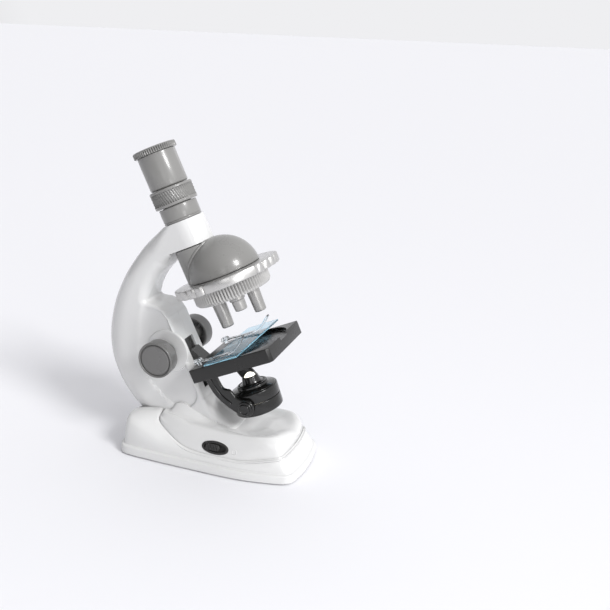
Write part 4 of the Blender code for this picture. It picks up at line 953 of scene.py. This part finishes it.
def make_tube():
    body = [(10.1, 105.3), (12.7, 105.3), (13.1, 104.9), (13.1, 96.4), (12.75, 96.2),
            (12.75, 95.9), (13.1, 95.7), (13.1, 94.8), (11.6, 94.8), (11.6, 79.0), (10.1, 79.0)]
    lathe("tube_body", fillet(body, 0.15, 2, True), tilted(), GREY, "stand", ["body_tube"],
          96, True)
    ring = [(10.5, 117.8), (13.9, 117.8), (14.5, 117.6), (14.75, 117.1), (14.75, 116.2),
            (14.75, 116.0), (14.75, 114.0), (14.75, 112.0), (14.75, 110.0), (14.75, 107.8),
            (14.75, 107.6), (14.75, 106.4), (14.5, 105.9), (13.9, 105.7), (10.5, 105.7)]
    lathe("zoom_grip", ring, tilted(), GREY, "zoom", ["zoom_ring"], 416, True,
          Ribs(52, 1.0, 107.7, 116.1, 14.0, 0.02), 60.0)
    barrel = [(9.3, 141.0), (13.05, 141.0), (13.05, 119.0), (12.5, 118.2), (10.0, 118.2),
              (10.0, 97.0), (8.0, 97.0), (8.0, 98.2), (8.8, 98.2), (8.8, 137.4), (9.3, 137.4)]
    lathe("eyepiece_tube", fillet(barrel, 0.2, 2, True), tilted(), GREY, "eyepiece",
          ["eyepiece_barrel"], 96, True)
    cap = [(7.6, 144.2), (8.4, 144.8), (9.8, 145.3), (13.9, 145.3), (14.5, 145.15), (14.75, 144.7),
           (14.75, 144.5), (14.75, 143.0), (14.75, 141.8), (14.6, 141.4), (14.2, 141.3),
           (7.6, 141.3)]
    lathe("eyepiece_rim", cap, tilted(), GREY, "eyepiece", ["eyepiece_cap"], 464,
          True, Ribs(58, 0.9, 141.7, 144.6, 14.0), 60.0)


# ---------------------------------------------------------------- studio

def make_studio():
    """White paper floor, a sky that is dark at the left for contrast, and three lights."""
    bpy.ops.mesh.primitive_plane_add(size=60.0, location=(0.0, 0.0, 0.0))
    floor = bpy.context.object
    floor.name = "studio_floor"
    mat = bpy.data.materials.new("studio_paper")
    mat.use_nodes = True
    shader = mat.node_tree.nodes["Principled BSDF"]
    shader.inputs["Base Color"].default_value = (0.84, 0.84, 0.865, 1.0)
    shader.inputs["Roughness"].default_value = 0.8
    floor.data.materials.append(mat)
    world = bpy.data.worlds.new("studio")
    bpy.context.scene.world = world
    world.use_nodes = True
    tree = world.node_tree
    place = tree.nodes.new("ShaderNodeTexCoord")
    toward = tree.nodes.new("ShaderNodeVectorMath")
    toward.operation = "DOT_PRODUCT"
    toward.inputs[1].default_value = (0.72, 0.62, 0.31)
    tree.links.new(place.outputs["Generated"], toward.inputs[0])
    glow = ranged(tree, toward.outputs["Value"], -0.7, 0.05, 0.03, 0.88)
    back = tree.nodes["Background"]
    back.inputs["Color"].default_value = (0.98, 0.98, 1.0, 1.0)
    tree.links.new(glow, back.inputs["Strength"])
    lights = (("key", "SUN", (0.85, -0.34, 0.80), 0.30, 1.9),
              ("front", "AREA", (0.35, -1.1, 0.45), 0.35, 0.6),
              ("stripe", "AREA", (0.62, -0.55, 0.30), 0.22, 0.9))
    for name, kind, spot, size, power in lights:
        data = bpy.data.lights.new(name, kind)
        data.energy = power
        if kind == "SUN":
            data.angle = size
        else:
            data.size = size
        light = bpy.data.objects.new(name, data)
        bpy.context.scene.collection.objects.link(light)
        light.location = spot
        light.rotation_euler = (Vector((0.0, 0.0, 0.10)) - Vector(spot)).to_track_quat(
            "-Z", "Y").to_euler()
    bpy.context.scene.view_settings.view_transform = "Standard"


def make_camera():
    distance, a, e, roll = 509.188, math.radians(18.468), math.radians(19.597), math.radians(2.272)
    back = Vector((math.sin(a) * math.cos(e), -math.cos(a) * math.cos(e), math.sin(e)))
    right = Vector((math.cos(a), math.sin(a), 0.0))
    up = back.cross(right)
    right, up = (right * math.cos(roll) + up * math.sin(roll),
                 up * math.cos(roll) - right * math.sin(roll))
    spot = Vector((47.972 + AXIS_X, 0.0, 38.253 + STAGE_Z)) + back * distance
    data = bpy.data.cameras.new("camera")
    data.sensor_width = 36.0
    data.lens = 45.807
    data.clip_start = 0.01
    camera = bpy.data.objects.new("camera", data)
    bpy.context.scene.collection.objects.link(camera)
    camera.matrix_world = Matrix((
        (right.x, up.x, back.x, spot.x * MM),
        (right.y, up.y, back.y, spot.y * MM),
        (right.z, up.z, back.z, spot.z * MM),
        (0.0, 0.0, 0.0, 1.0)))
    bpy.context.scene.camera = camera


slot_of = {s["node"]: s["material_slot"] for s in frame["record"]["subparts"]}
for name, obj in frame["nodes"].items():
    look = LOOKS[slot_of[name]]
    if obj.data.materials:
        for k in range(len(obj.data.materials)):
            obj.data.materials[k] = look
    else:
        obj.data.materials.append(look)

make_camera()
make_studio()
make_arm()
make_foot()
make_deck()
make_switch()
make_knobs()
make_stage()
make_clips()
make_slide()
make_lamp()
make_head()
make_head_lip()
make_turret()
make_tube()
